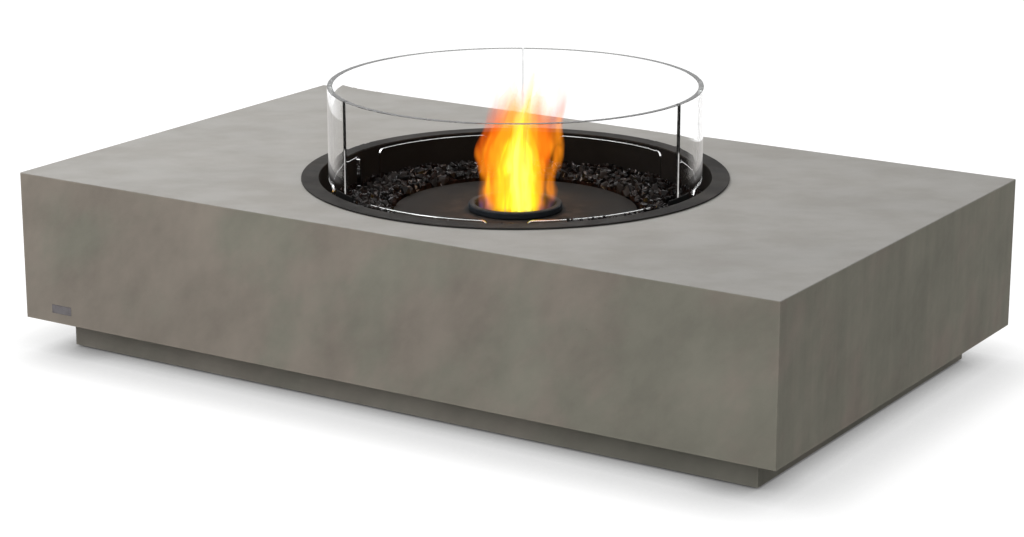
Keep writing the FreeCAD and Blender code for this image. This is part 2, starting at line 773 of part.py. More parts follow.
def burner():
    """The fuel burner: a casing under a wide top plate, a tank, a wick and a loose collar."""
    rim_inner = minus("burner_radius", "burner_rim_thickness")
    rim_bottom = plus(SHELF_TOP, "seat_gap")
    keep(turned("burner_top_plate", [("mouth_radius", PLATE_BOTTOM), (rim_inner, PLATE_BOTTOM),
                                     (rim_inner, rim_bottom), ("burner_radius", rim_bottom),
                                     ("burner_radius", BURNER_TOP), ("mouth_radius", BURNER_TOP)]),
         "burner_top_plate")
    casing_floor = plus(BURNER_BOTTOM, "casing_wall")
    casing_inside = minus(CASING_RADIUS, "casing_wall")
    keep(turned("burner_casing", [("0", BURNER_BOTTOM), (CASING_RADIUS, BURNER_BOTTOM),
                                  (CASING_RADIUS, PLATE_BOTTOM), (casing_inside, PLATE_BOTTOM),
                                  (casing_inside, casing_floor), ("0", casing_floor)]), "burner_casing")
    support_top = plus(casing_floor, "tank_floor_gap")
    keep(turned("tank_support", ring_profile(minus("tank_radius", "tank_floor_gap"), "tank_radius",
                                             casing_floor, support_top)), "tank_support")
    tank_floor = plus(support_top, "tank_wall")
    tank_inside = minus("tank_radius", "tank_wall")
    keep(turned("fuel_tank", [("0", support_top), ("tank_radius", support_top),
                              ("tank_radius", PLATE_BOTTOM), (tank_inside, PLATE_BOTTOM),
                              (tank_inside, tank_floor), ("0", tank_floor)]), "fuel_tank")
    wick_top = plus(tank_floor, "wick_thickness")
    keep(turned("wick_pad", [("0", tank_floor), (minus(tank_inside, "wick_side_gap"), tank_floor),
                             (minus(tank_inside, "wick_side_gap"), wick_top), ("0", wick_top)]), "wick_pad")
    wick_grille(wick_top, minus(tank_inside, "wick_side_gap"))
    burner_collar()


def wick_grille(bottom, radius):
    """A perforated plate that holds the wick down, with one ring of round holes."""
    disc = turned("grille_disc", [("0", bottom), (radius, bottom), (radius, plus(bottom, "grille_thickness")),
                                  ("0", plus(bottom, "grille_thickness"))])
    sketch = new_sketch(disc, "grille_hole", offset=plus(bottom, "grille_thickness"))
    draw_circle(sketch, "grille_ring_radius", "0", "grille_hole_radius")
    hole = pocket(disc, sketch, "grille_thickness")
    pattern = disc.newObject("PartDesign::PolarPattern", "grille_holes")
    pattern.Originals = [hole]
    pattern.Axis = (sketch, ["N_Axis"])
    pattern.Angle = 360
    pattern.setExpression("Occurrences", named("grille_hole_count"))
    doc.recompute()
    disc.Tip = pattern
    keep(disc, "wick_grille")


def burner_collar():
    """The loose collar round the flame opening, with a sleeve that hangs in the plate's mouth."""
    low = plus(BURNER_TOP, "seat_gap")
    high = plus(BURNER_TOP, "collar_height")
    sleeve_bottom = minus(BURNER_TOP, "collar_sleeve_depth")
    sleeve_outside = plus("collar_bore_radius", "collar_sleeve_thickness")
    body = turned("burner_collar", [("collar_bore_radius", sleeve_bottom), (sleeve_outside, sleeve_bottom),
                                    (sleeve_outside, low), ("collar_radius", low),
                                    ("collar_radius", high), ("collar_bore_radius", high)])
    top = value_of(high)
    round_edges(body, "collar_round", "collar_edge_radius", lambda edge: is_level_at(edge, top))
    keep(body, "burner_collar")


# The glass screen

def glass_screen():
    """Three curved panels, their holders at the seams and the soft strips they stand on."""
    for name, direction in PANEL_DIRECTIONS.items():
        glass_panel("glass_" + name, direction)
    for name, direction in SEAM_DIRECTIONS.items():
        glass_holder("glass_holder_" + name, direction)
    strip_group("glass_end_strips", SEAM_DIRECTIONS.values(), "holder_angle", HOLDER_FLOOR,
                "strip_thickness")
    strip_group("glass_middle_strips", PANEL_DIRECTIONS.values(), "middle_foot_angle", SHELF_TOP,
                plus("holder_wall", "strip_thickness"))


def glass_panel(label, direction):
    """One panel of the screen: a third of the ring, standing on a foot at each end and one between."""
    half_middle = times(0.5, "middle_foot_angle")
    body = new_body(label)
    outline = new_sketch(body, label + "_outline", offset=GLASS_BOTTOM)
    draw_ring_sector(outline, GLASS_INSIDE, "glass_radius", -HALF_PANEL, HALF_PANEL,
                     times(0.5, "seam_gap"))
    pad(body, outline, minus(GLASS_TOP, GLASS_BOTTOM))
    gaps = new_sketch(body, label + "_gaps", offset=GLASS_BOTTOM)
    foot_end = minus(HALF_PANEL, "end_foot_angle")
    inside = minus(GLASS_INSIDE, "glass_thickness")
    outside = plus("glass_radius", "glass_thickness")
    draw_ring_sector(gaps, inside, outside, half_middle, foot_end)
    draw_ring_sector(gaps, inside, outside, negative(foot_end), negative(half_middle))
    pocket(body, gaps, minus(AIR_GAP_TOP, GLASS_BOTTOM), forward=True)
    gap_top = value_of(AIR_GAP_TOP)
    round_edges(body, label + "_gap_corners", "air_gap_corner_radius",
                lambda edge: isinstance(edge.Curve, Part.Line) and is_level_at(edge, gap_top))
    rim = value_of(GLASS_TOP)
    bevel_edges(body, label + "_rim", "glass_edge_bevel", lambda edge: is_level_at(edge, rim))
    body.Placement.Rotation = FreeCAD.Rotation(Vector(0, 0, 1), direction)
    keep(body, label)


def glass_holder(label, direction):
    """A steel channel on the shelf that takes the feet of two panels where they meet."""
    half = times(0.5, "holder_angle")
    inside = minus(GLASS_INSIDE, "holder_clearance")
    outside = plus("glass_radius", "holder_clearance")
    body = new_body(label)
    base = new_sketch(body, label + "_base", offset=SHELF_TOP)
    draw_ring_sector(base, minus(inside, "holder_wall"), plus(outside, "holder_wall"),
                     negative(half), half)
    pad(body, base, "holder_wall")
    inner = new_sketch(body, label + "_inner", offset=SHELF_TOP)
    draw_ring_sector(inner, minus(inside, "holder_wall"), inside, negative(half), half)
    pad(body, inner, "holder_inner_height")
    outer = new_sketch(body, label + "_outer", offset=SHELF_TOP)
    draw_ring_sector(outer, outside, plus(outside, "holder_wall"), negative(half), half)
    pad(body, outer, plus("shelf_drop", "holder_outer_rise"))
    body.Placement.Rotation = FreeCAD.Rotation(Vector(0, 0, 1), direction)
    keep(body, label)


def strip_group(label, directions, angle, low, thickness):
    """Soft strips under the glass feet, one in each direction."""
    half = times(0.5, angle)
    strips = []
    for number, direction in enumerate(directions):
        body = new_body("%s_%d" % (label, number))
        sketch = new_sketch(body, "%s_%d_outline" % (label, number), offset=low)
        draw_ring_sector(sketch, GLASS_INSIDE, "glass_radius", negative(half), half)
        pad(body, sketch, thickness)
        body.Placement.Rotation = FreeCAD.Rotation(Vector(0, 0, 1), direction)
        strips.append(body)
    group(label, strips)


# The stones

def stone_beds():
    """The loose stones on the shelf inside the screen, as a few heaps in front of each panel."""
    inner = plus("burner_radius", "stone_side_gap")
    outer = minus(GLASS_INSIDE, "holder_clearance", "holder_wall", "stone_side_gap")
    middle = times(0.5, plus(inner, outer))
    edge = plus(SHELF_TOP, "stone_edge_height")
    heap_step = 2 * HALF_PANEL / HEAPS_PER_PANEL
    for name, direction in PANEL_DIRECTIONS.items():
        crest = "stone_front_height" if name == "front" else "stone_heap_height"
        top = plus(SHELF_TOP, crest)
        heaps = []
        for number in range(HEAPS_PER_PANEL):
            heap_middle = direction - HALF_PANEL + heap_step * (number + 0.5)
            start = minus(heap_middle, times(0.5, "stone_heap_angle"))
            heaps.append(turned("heap_%s_%d" % (name, number),
                                [(inner, SHELF_TOP), (outer, SHELF_TOP), (outer, edge), (middle, top),
                                 (inner, edge)], start, "stone_heap_angle"))
        group("stones_" + name, heaps)


def build():
    """Make every piece."""
    concrete_shell()
    badge_plate()
    plinth_panels()
    long_rails()
    short_rails()
    posts_and_bearers()
    shell_brackets()
    levelling_feet()
    fire_well()
    burner()
    glass_screen()
    stone_beds()
    doc.recompute()


def check_document():
    """Stop if any object or any node of the document is faulty."""
    for item in doc.Objects:
        faults = [state for state in item.State if state in ("Invalid", "Error")]
        if faults:
            raise RuntimeError("%s is %s" % (item.Label, faults))
    for node in nodes:
        shape = node.Shape
        if shape.isNull() or not shape.isValid() or not shape.Solids:
            raise RuntimeError("%s has no valid solid" % node.Label)
        if len(node.Label) >= 60:
            raise RuntimeError("the name is too long: " + node.Label)


def write_nodes():
    """Write each node to its own file."""
    os.makedirs("parts", exist_ok=True)
    for node in nodes:
        node.Shape.exportStep(os.path.join("parts", node.Label + ".step"))
        print("%-26s %2d solid(s) %12.1f mm3" % (node.Label, len(node.Shape.Solids), node.Shape.Volume))
    print("%d nodes" % len(nodes))


build()
check_document()
write_nodes()
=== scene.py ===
import json
import logging
import math
import random
from collections.abc import Sequence
from dataclasses import dataclass
from enum import Enum

import bmesh
import bpy
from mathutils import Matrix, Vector

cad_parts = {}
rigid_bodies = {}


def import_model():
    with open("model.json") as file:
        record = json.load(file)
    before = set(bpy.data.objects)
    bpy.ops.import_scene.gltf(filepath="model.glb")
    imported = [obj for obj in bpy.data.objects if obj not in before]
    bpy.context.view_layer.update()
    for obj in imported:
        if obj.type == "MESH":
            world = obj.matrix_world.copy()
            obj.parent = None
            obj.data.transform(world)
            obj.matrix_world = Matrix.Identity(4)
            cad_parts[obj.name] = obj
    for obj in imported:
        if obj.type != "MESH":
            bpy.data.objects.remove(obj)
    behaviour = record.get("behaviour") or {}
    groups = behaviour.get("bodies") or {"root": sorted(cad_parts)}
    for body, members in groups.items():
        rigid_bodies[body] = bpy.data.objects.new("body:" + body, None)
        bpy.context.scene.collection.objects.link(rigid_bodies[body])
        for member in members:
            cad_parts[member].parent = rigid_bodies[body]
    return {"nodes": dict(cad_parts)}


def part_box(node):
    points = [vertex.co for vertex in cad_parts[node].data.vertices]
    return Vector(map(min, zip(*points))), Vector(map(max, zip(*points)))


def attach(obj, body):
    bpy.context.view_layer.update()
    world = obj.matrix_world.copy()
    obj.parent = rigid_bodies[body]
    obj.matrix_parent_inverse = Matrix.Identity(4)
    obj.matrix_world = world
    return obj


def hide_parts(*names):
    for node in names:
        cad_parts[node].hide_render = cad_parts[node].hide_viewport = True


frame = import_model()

# A low rectangular fire pit table of cast concrete. It stands on a recessed plinth and has
# a round steel fire well with a burner, black stones and a glass screen of three panels.
# All lengths are in metres. X runs along the table, Y from front to back and Z upwards.

log = logging.getLogger("fire_pit_table")

Colour = tuple[float, float, float]
Triple = tuple[float, float, float]
Point = tuple[float, float]

# The parts of the object that move on their own
TABLE = "table"
BURNER = "burner"
COLLAR = "collar"
CORNERS = ("front_left", "front_right", "back_left", "back_right")

# Where the middle of each glass panel lies, in degrees from the X axis
PANEL_DIRECTIONS = {"front": 300.0, "right": 60.0, "left": 180.0}


class Surface(Enum):
    """How the faces of a finished mesh are shaded."""

    FLAT = "flat"
    SMOOTH = "smooth"


def linear(red: int, green: int, blue: int) -> Colour:
    """Turn a colour as a screen shows it into the linear light that shaders take.

    Args:
        red: Red, from 0 to 255.
        green: Green, from 0 to 255.
        blue: Blue, from 0 to 255.

    Returns:
        The three linear values, from 0 to 1.
    """
    def channel(value: int) -> float:
        """Undo the screen's curve for one channel."""
        share = value / 255
        return share / 12.92 if share <= 0.04045 else ((share + 0.055) / 1.055) ** 2.4
    return channel(red), channel(green), channel(blue)


def opaque(colour: Colour) -> tuple[float, float, float, float]:
    """Add a full alpha to a colour."""
    return (*colour, 1.0)


def low(node: str) -> Vector:
    """Give the lowest corner of a node's box."""
    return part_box(node)[0]


def high(node: str) -> Vector:
    """Give the highest corner of a node's box."""
    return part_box(node)[1]


# Node trees

class NodeGraph:
    """Short ways to add the nodes of one tree and to join them."""

    def __init__(self, tree: bpy.types.NodeTree) -> None:
        """Start with a tree that has no nodes of its own."""
        self.tree = tree
        tree.nodes.clear()

    def node(self, kind: str, inputs: dict | None = None, **settings: object) -> bpy.types.Node:
        """Add a node, set its settings and fill its inputs.

        Args:
            kind: The node's type.
            inputs: What goes into its sockets, by name or number.
            **settings: The node's own settings.

        Returns:
            The new node.
        """
        made = self.tree.nodes.new(kind)
        for name, value in settings.items():
            setattr(made, name, value)
        for key, value in (inputs or {}).items():
            self.put(made.inputs[key], value)
        return made

    def put(self, socket: bpy.types.NodeSocket, value: object) -> None:
        """Join a socket or node to an input, or set the input's plain value."""
        if isinstance(value, bpy.types.Node):
            value = value.outputs[0]
        if isinstance(value, bpy.types.NodeSocket):
            self.tree.links.new(value, socket)
        else:
            socket.default_value = value

    def math(self, operation: str, *values: object) -> bpy.types.NodeSocket:
        """Work out one sum from sockets or numbers, from left to right where there are many."""
        pair, others = values[:2], values[2:]
        result = self.node("ShaderNodeMath", dict(enumerate(pair)), operation=operation).outputs[0]
        return self.math(operation, result, *others) if others else result

    def remap(self, value: object, start: float, stop: float,
              low_end: float = 0.0, high_end: float = 1.0) -> bpy.types.NodeSocket:
        """Stretch a value from one span to another, and hold it inside the new one."""
        made = self.node("ShaderNodeMapRange", {"Value": value, "From Min": start, "From Max": stop,
                                                "To Min": low_end, "To Max": high_end},
                         interpolation_type="SMOOTHSTEP")
        return made.outputs["Result"]

    def swing(self, noise: object, amount: float, spread: float = 0.2) -> bpy.types.NodeSocket:
        """Turn a noise into a value that swings by an amount to both sides of 0."""
        return self.remap(noise, 0.5 - spread, 0.5 + spread, -amount, amount)

    def blend(self, share: object, first: object, second: object,
              mode: str = "MIX") -> bpy.types.NodeSocket:
        """Mix two colours by a share of the second."""
        made = self.node("ShaderNodeMix", data_type="RGBA", blend_type=mode)
        for number, value in ((0, share), (6, first), (7, second)):
            if isinstance(value, tuple) and len(value) == 3:
                value = opaque(value)
            self.put(made.inputs[number], value)
        return made.outputs[2]

    def seen(self) -> bpy.types.NodeSocket:
        """Give 1 where the camera sees this, by itself or in gloss or glass."""
        rays = self.node("ShaderNodeLightPath").outputs
        return self.math("MAXIMUM", rays["Is Camera Ray"], rays["Is Glossy Ray"],
                         rays["Is Transmission Ray"])


class ShaderGraph(NodeGraph):
    """A material's node tree, with its pattern coordinates and shaders at hand."""

    def __init__(self, name: str) -> None:
        """Start an empty material with this name."""
        self.material = bpy.data.materials.new(name)
        self.material.use_nodes = True
        super().__init__(self.material.node_tree)
        self.place = self.node("ShaderNodeTexCoord").outputs["Object"]

    def split(self, vector: object) -> tuple[bpy.types.NodeSocket, ...]:
        """Give the three coordinates of a vector."""
        return tuple(self.node("ShaderNodeSeparateXYZ", {0: vector}).outputs)

    def height(self) -> bpy.types.NodeSocket:
        """Give the height over the floor."""
        return self.split(self.place)[2]

    def radius(self) -> bpy.types.NodeSocket:
        """Give the distance from the table's upright axis."""
        across, along, _ = self.split(self.place)
        return self.math("SQRT", self.math("ADD", self.math("MULTIPLY", across, across),
                                           self.math("MULTIPLY", along, along)))

    def attribute(self, name: str) -> bpy.types.NodeSocket:
        """Give a number that is stored on the mesh."""
        return self.node("ShaderNodeAttribute", attribute_name=name).outputs["Fac"]

    def stretched(self, scale: Sequence[float], turn: float = 0.0) -> bpy.types.NodeSocket:
        """Give the pattern coordinates, turned about Z by an angle in degrees and stretched."""
        rotation = (0.0, 0.0, math.radians(turn))
        spun = self.node("ShaderNodeMapping", {"Vector": self.place, "Rotation": rotation})
        sized = self.node("ShaderNodeMapping", {"Vector": spun, "Scale": tuple(scale)})
        return sized.outputs[0]

    def drawn_out(self, turn: float, rise: float, stretch: Sequence[float]) -> bpy.types.NodeSocket:
        """Give the pattern coordinates, drawn out along a slanting direction.

        Args:
            turn: The direction's turn about Z, in degrees.
            rise: How steeply it climbs, in degrees.
            stretch: How much longer patterns get along it, beside it and over it.

        Returns:
            The new coordinates.
        """
        slant = (0.0, math.radians(-rise), math.radians(turn))
        made = self.node("ShaderNodeMapping",
                         {"Vector": self.place, "Rotation": slant, "Scale": tuple(stretch)},
                         vector_type="TEXTURE")
        return made.outputs[0]

    def noise(self, scale: float, detail: float = 3.0, rough: float = 0.5,
              vector: object | None = None, shift: float = 0.0) -> bpy.types.NodeSocket:
        """Give a cloudy value between 0 and 1.

        Args:
            scale: Clouds to the metre.
            detail: How many finer layers it has.
            rough: How strong the finer layers are.
            vector: Other pattern coordinates than the object's own.
            shift: A distance into the noise, so that two patterns differ.

        Returns:
            The noise's value.
        """
        made = self.node("ShaderNodeTexNoise",
                         {"Vector": vector or self.place, "W": shift, "Scale": scale, "Detail": detail,
                          "Roughness": rough}, noise_dimensions="4D")
        return made.outputs[0]

    def bump(self, height: object, distance: float, strength: float = 1.0,
             under: object | None = None) -> bpy.types.NodeSocket:
        """Turn heights into a bumpy normal, on top of another one."""
        inputs = {"Height": height, "Distance": distance, "Strength": strength}
        if under is not None:
            inputs["Normal"] = under
        return self.node("ShaderNodeBump", inputs).outputs[0]

    def principled(self, **inputs: object) -> bpy.types.Node:
        """Add the main shader, with sockets named in words joined by underscores."""
        made = self.node("ShaderNodeBsdfPrincipled")
        for name, value in inputs.items():
            socket = made.inputs[name.replace("_", " ").title().replace("Ior", "IOR")]
            if isinstance(value, tuple) and len(value) == 3 and socket.type == "RGBA":
                value = opaque(value)
            self.put(socket, value)
        return made

    def finish(self, shader: object, lights_others: bool = True) -> bpy.types.Material:
        """Join the last shader to the output, and say whether its glow is counted as a lamp."""
        self.node("ShaderNodeOutputMaterial", {"Surface": shader})
        if not lights_others:
            self.material.cycles.emission_sampling = "NONE"
        return self.material


# Finishes

class Finish:
    """A surface finish that is made once and then shared by its pieces."""

    slot_name = ""
    variant = ""

    def title(self) -> str:
        """Name the material after the slot of the record that it stands for, and its variant."""
        return "_".join(word for word in (self.slot_name, self.variant, "finish") if word)

    def material(self) -> bpy.types.Material:
        """Give the finish's material, made on first use."""
        known = bpy.data.materials.get(self.title())
        return known or self.make(ShaderGraph(self.title()))

    def make(self, graph: ShaderGraph) -> bpy.types.Material:
        """Build the material's nodes."""
        raise NotImplementedError


@dataclass(frozen=True)
class CastConcrete(Finish):
    """Cast concrete: slanting trowel clouds of two hues, faint runs, a fine grain and a few pores."""

    slot_name: str = "concrete"
    side_warm: Colour = linear(179, 169, 157)
    side_cool: Colour = linear(171, 168, 154)
    top_pale: Colour = linear(176, 174, 170)
    top_deep: Colour = linear(163, 160, 155)
    low_corner: Triple = (-0.635, -0.381, 0.0515)
    high_corner: Triple = (0.635, 0.381, 0.2765)
    arris_width: float = 0.004
    arris_gain: float = 0.08
    trowel_turn: float = 35.0
    trowel_rise: float = 39.0
    cloud_stretch: float = 2.1
    stroke_stretch: float = 3.4
    hue_drift: float = 0.06
    cloud_gain: float = 0.1
    stroke_gain: float = 0.06
    mottle_gain: float = 0.03
    run_gain: float = 0.045
    sand_gain: float = 0.035
    pore_gain: float = 0.2
    pore_scale: float = 130.0
    top_share: float = 0.4
    top_depth: float = 0.0016
    top_blur: float = 0.0014
    relief_depth: float = 0.0003
    roughness: float = 0.72

    def arris(self, graph: ShaderGraph) -> bpy.types.NodeSocket:
        """Give 1 on the block's outer edges, falling to 0 a few millimetres from them."""
        gaps = []
        for place, start, stop in zip(graph.split(graph.place), self.low_corner, self.high_corner):
            centred = graph.math("SUBTRACT", place, (start + stop) / 2)
            gaps.append(graph.math("SUBTRACT", (stop - start) / 2, graph.math("ABSOLUTE", centred)))
        first, second, third = gaps
        least = graph.math("MINIMUM", first, second)
        most = graph.math("MAXIMUM", first, second)
        middle = graph.math("MAXIMUM", least, graph.math("MINIMUM", most, third))
        return graph.remap(middle, 0.0, self.arris_width, 1.0, 0.0)

    def make(self, graph: ShaderGraph) -> bpy.types.Material:
        """Build the material's nodes."""
        slant = graph.drawn_out(self.trowel_turn, self.trowel_rise, (self.cloud_stretch, 1.0, 1.0))
        stroke = graph.drawn_out(self.trowel_turn, self.trowel_rise, (self.stroke_stretch, 1.0, 1.0))
        clouds = graph.noise(7.0, 4.0, 0.5, slant, 3.0)
        strokes = graph.noise(17.0, 4.0, 0.55, stroke, 5.0)
        sand = graph.noise(900.0, 2.0, 0.7)
        top_from = self.high_corner[2] - self.top_depth
        upper = graph.remap(graph.height(), top_from, top_from + self.top_blur)
        pits = graph.node("ShaderNodeTexVoronoi", {"Vector": graph.place, "Scale": self.pore_scale})
        pore_size = graph.remap(graph.noise(30.0, 2.0, shift=9.0), 0.58, 0.8, 0.0, 0.16)
        pore = graph.math("LESS_THAN", pits.outputs["Distance"], pore_size)
        gain = graph.math("ADD", self.tone(graph, slant, clouds, strokes, sand, upper, pore), 1.0)
        shade = graph.node("ShaderNodeCombineColor", {0: gain, 1: gain, 2: gain})
        colour = graph.blend(1.0, self.body(graph, slant, strokes, upper), shade.outputs[0], "MULTIPLY")
        relief = graph.math("ADD", graph.math("MULTIPLY", sand, 0.5), graph.noise(240.0, 3.0, 0.6))
        relief = graph.math("SUBTRACT", relief, graph.math("MULTIPLY", pore, 2.0))
        rough = graph.remap(clouds, 0.3, 0.7, self.roughness - 0.05, self.roughness + 0.06)
        return graph.finish(graph.principled(base_color=colour, roughness=rough,
                                             normal=graph.bump(relief, self.relief_depth, 0.5),
                                             specular_ior_level=0.12))

    def body(self, graph: ShaderGraph, slant: object, strokes: object,
             upper: object) -> bpy.types.NodeSocket:
        """Give the plain colour: two hues in clouds on the sides, and two greys in strokes on top."""
        across = graph.split(graph.place)[0]
        drift = graph.remap(across, self.low_corner[0], self.high_corner[0],
                            -self.hue_drift, self.hue_drift)
        hue = graph.remap(graph.math("ADD", graph.noise(7.5, 5.0, 0.6, slant, 1.0), drift), 0.4, 0.6)
        side = graph.blend(hue, self.side_warm, self.side_cool)
        top = graph.blend(graph.remap(strokes, 0.3, 0.7), self.top_pale, self.top_deep)
        return graph.blend(upper, side, top)

    def tone(self, graph: ShaderGraph, slant: object, clouds: object, strokes: object, sand: object,
             upper: object, pore: object) -> bpy.types.NodeSocket:
        """Give how much lighter or darker than its plain colour each spot is.

        Args:
            graph: The material's nodes.
            slant: Pattern coordinates, drawn out along the trowel's way.
            clouds: The broad clouds.
            strokes: The trowel's strokes.
            sand: The fine grain.
            upper: 1 on the top and 0 on the sides.
            pore: 1 in a pore and 0 beside it.

        Returns:
            The change, where 0 changes nothing.
        """
        mottle = graph.noise(52.0, 3.0, 0.6, slant, 8.0)
        tone = graph.math("ADD", graph.swing(clouds, self.cloud_gain, 0.22),
                          graph.swing(strokes, self.stroke_gain), graph.swing(mottle, self.mottle_gain))
        tone = graph.math("MULTIPLY", tone, graph.remap(upper, 0.0, 1.0, 1.0, self.top_share))
        runs = graph.noise(48.0, 3.0, 0.6, graph.stretched((0.25, 1.0, 0.06)), 11.0)
        fade = graph.remap(upper, 0.0, 1.0, self.run_gain, 0.0)
        worn = graph.math("MULTIPLY", self.arris(graph), graph.remap(graph.noise(60.0, 3.0), 0.3, 0.6))
        tone = graph.math("ADD", tone, graph.math("MULTIPLY", graph.swing(runs, 1.0), fade),
                          graph.swing(sand, self.sand_gain), graph.math("MULTIPLY", worn, self.arris_gain))
        return graph.math("SUBTRACT", tone, graph.math("MULTIPLY", pore, self.pore_gain))


@dataclass(frozen=True)
class PlinthConcretePaintedPaler(CastConcrete):
    """The same concrete, a little paler and greyer: painted light that lifts the shade under the overhang.
    """

    slot_name: str = "plinth"
    side_warm: Colour = linear(182, 176, 165)
    side_cool: Colour = linear(175, 172, 160)
    low_corner: Triple = (-0.584, -0.33, 0.003)
    high_corner: Triple = (0.584, 0.33, 0.0515)


@dataclass(frozen=True)
class PowderCoat(Finish):
    """A dull coating on steel: a fine orange-peel skin, dust in clouds and a few paler specks."""

    slot_name: str = "black_steel"
    variant: str = ""
    base: Colour = linear(50, 49, 48)
    dust: Colour = linear(96, 92, 88)
    dust_share: float = 0.4
    roughness: float = 0.5
    gloss: float = 0.016
    grain: float = 700.0
    peel_depth: float = 0.0002

    def make(self, graph: ShaderGraph) -> bpy.types.Material:
        """Build the material's nodes."""
        clouds = graph.noise(11.0, 5.0, 0.6)
        specks = graph.remap(graph.noise(420.0, 2.0, 0.5, shift=2.0), 0.66, 0.74)
        dusty = graph.math("ADD", graph.remap(clouds, 0.35, 0.75, 0.0, self.dust_share),
                           graph.math("MULTIPLY", specks, 0.25))
        colour = graph.blend(dusty, self.base, self.dust)
        peel = graph.noise(self.grain, 1.0, 0.5, shift=4.0)
        rough = graph.remap(graph.noise(26.0, 3.0), 0.3, 0.7,
                            self.roughness - 0.05, self.roughness + 0.07)
        return graph.finish(graph.principled(base_color=colour, roughness=rough,
                                             specular_ior_level=self.gloss,
                                             normal=graph.bump(peel, self.peel_depth, 0.35)))


@dataclass(frozen=True)
class BurnerCoat(Finish):
    """Heat-proof black on the burner's top, greyed by ash and browned round the mouth."""

    slot_name: str = "burner_black"
    variant: str = ""
    base: Colour = linear(37, 37, 37)
    ash: Colour = linear(58, 56, 54)
    scorched: Colour = linear(64, 59, 55)
    mouth: float = 0.066
    scorch_reach: float = 0.075
    roughness: float = 0.55
    gloss: float = 0.012
    peel_depth: float = 0.0002

    def make(self, graph: ShaderGraph) -> bpy.types.Material:
        """Build the material's nodes."""
        heat = graph.remap(graph.radius(), self.mouth, self.mouth + self.scorch_reach, 1.0, 0.0)
        ashy = graph.remap(graph.noise(17.0, 5.0, 0.62), 0.35, 0.7, 0.1, 0.75)
        colour = graph.blend(ashy, self.base, self.ash)
        patches = graph.remap(graph.noise(45.0, 4.0, 0.6, shift=6.0), 0.4, 0.7)
        colour = graph.blend(graph.math("MULTIPLY", heat, patches), colour, self.scorched)
        peel = graph.noise(850.0, 2.0, 0.6, shift=1.0)
        rough = graph.remap(ashy, 0.0, 1.0, self.roughness - 0.08, self.roughness + 0.1)
        return graph.finish(graph.principled(base_color=colour, roughness=rough,
                                             specular_ior_level=self.gloss,
                                             normal=graph.bump(peel, self.peel_depth, 0.4)))


@dataclass(frozen=True)
class BareMetal(Finish):
    """Bare or plated steel: drawn lines, soft stains and a slight bloom."""

    slot_name: str = "zinc_steel"
    base: Colour = linear(172, 172, 170)
    stain: Colour = linear(128, 126, 122)
    roughness: float = 0.36
    lines: Triple = (40.0, 40.0, 900.0)

    def make(self, graph: ShaderGraph) -> bpy.types.Material:
        """Build the material's nodes."""
        drawn = graph.noise(1.0, 3.0, 0.6, graph.stretched(self.lines))
        stains = graph.remap(graph.noise(30.0, 5.0, 0.6, shift=3.0), 0.4, 0.7)
        colour = graph.blend(stains, self.base, self.stain)
        streaky = graph.remap(drawn, 0.3, 0.7, self.roughness - 0.08, self.roughness + 0.08)
        rough = graph.math("ADD", streaky, graph.math("MULTIPLY", stains, 0.12))
        return graph.finish(graph.principled(base_color=colour, metallic=1.0, roughness=rough,
                                             normal=graph.bump(drawn, 0.00005, 0.4)))


@dataclass(frozen=True)
class Rubber(Finish):
    """Moulded rubber: a soft grey bloom over a fine grain."""

    slot_name: str = "pad_rubber"
    base: Colour = linear(34, 34, 35)
    bloom: Colour = linear(62, 61, 60)
    roughness: float = 0.72

    def make(self, graph: ShaderGraph) -> bpy.types.Material:
        """Build the material's nodes."""
        clouds = graph.remap(graph.noise(35.0, 4.0, 0.6), 0.4, 0.75, 0.0, 0.7)
        grain = graph.noise(1200.0, 2.0, 0.6, shift=2.0)
        return graph.finish(graph.principled(base_color=graph.blend(clouds, self.base, self.bloom),
                                             roughness=self.roughness,
                                             normal=graph.bump(grain, 0.00015, 0.4)))


@dataclass(frozen=True)
class ClearRubber(Finish):
    """Milky soft plastic under the glass feet."""

    slot_name: str = "clear_rubber"
    base: Colour = linear(205, 208, 205)
    dirt: Colour = linear(150, 150, 144)

    def make(self, graph: ShaderGraph) -> bpy.types.Material:
        """Build the material's nodes."""
        clouds = graph.remap(graph.noise(90.0, 4.0, 0.6), 0.45, 0.75, 0.0, 0.6)
        return graph.finish(graph.principled(base_color=graph.blend(clouds, self.base, self.dirt),
                                             roughness=0.4, transmission_weight=0.35,
                                             normal=graph.bump(graph.noise(700.0), 0.0001, 0.3)))


@dataclass(frozen=True)
class WickFibre(Finish):
    """Matted white ceramic fibre, greyed where fuel burns on it."""

    slot_name: str = "wick_fibre"
    base: Colour = linear(222, 218, 208)
    soot: Colour = linear(96, 90, 82)

    def make(self, graph: ShaderGraph) -> bpy.types.Material:
        """Build the material's nodes."""
        strands = graph.noise(260.0, 5.0, 0.75, graph.stretched((1.0, 0.3, 1.0), 20.0))
        crossed = graph.noise(260.0, 5.0, 0.75, graph.stretched((0.3, 1.0, 1.0), -35.0), 4.0)
        fibres = graph.math("MAXIMUM", strands, crossed)
        sooty = graph.remap(graph.noise(28.0, 4.0, 0.6, shift=8.0), 0.42, 0.72, 0.0, 0.8)
        colour = graph.blend(sooty, self.base, self.soot)
        colour = graph.blend(graph.remap(fibres, 0.45, 0.75, 0.3, 0.0), colour, self.soot)
        return graph.finish(graph.principled(base_color=colour, roughness=0.9, sheen_weight=0.3,
                                             normal=graph.bump(fibres, 0.001, 0.7)))


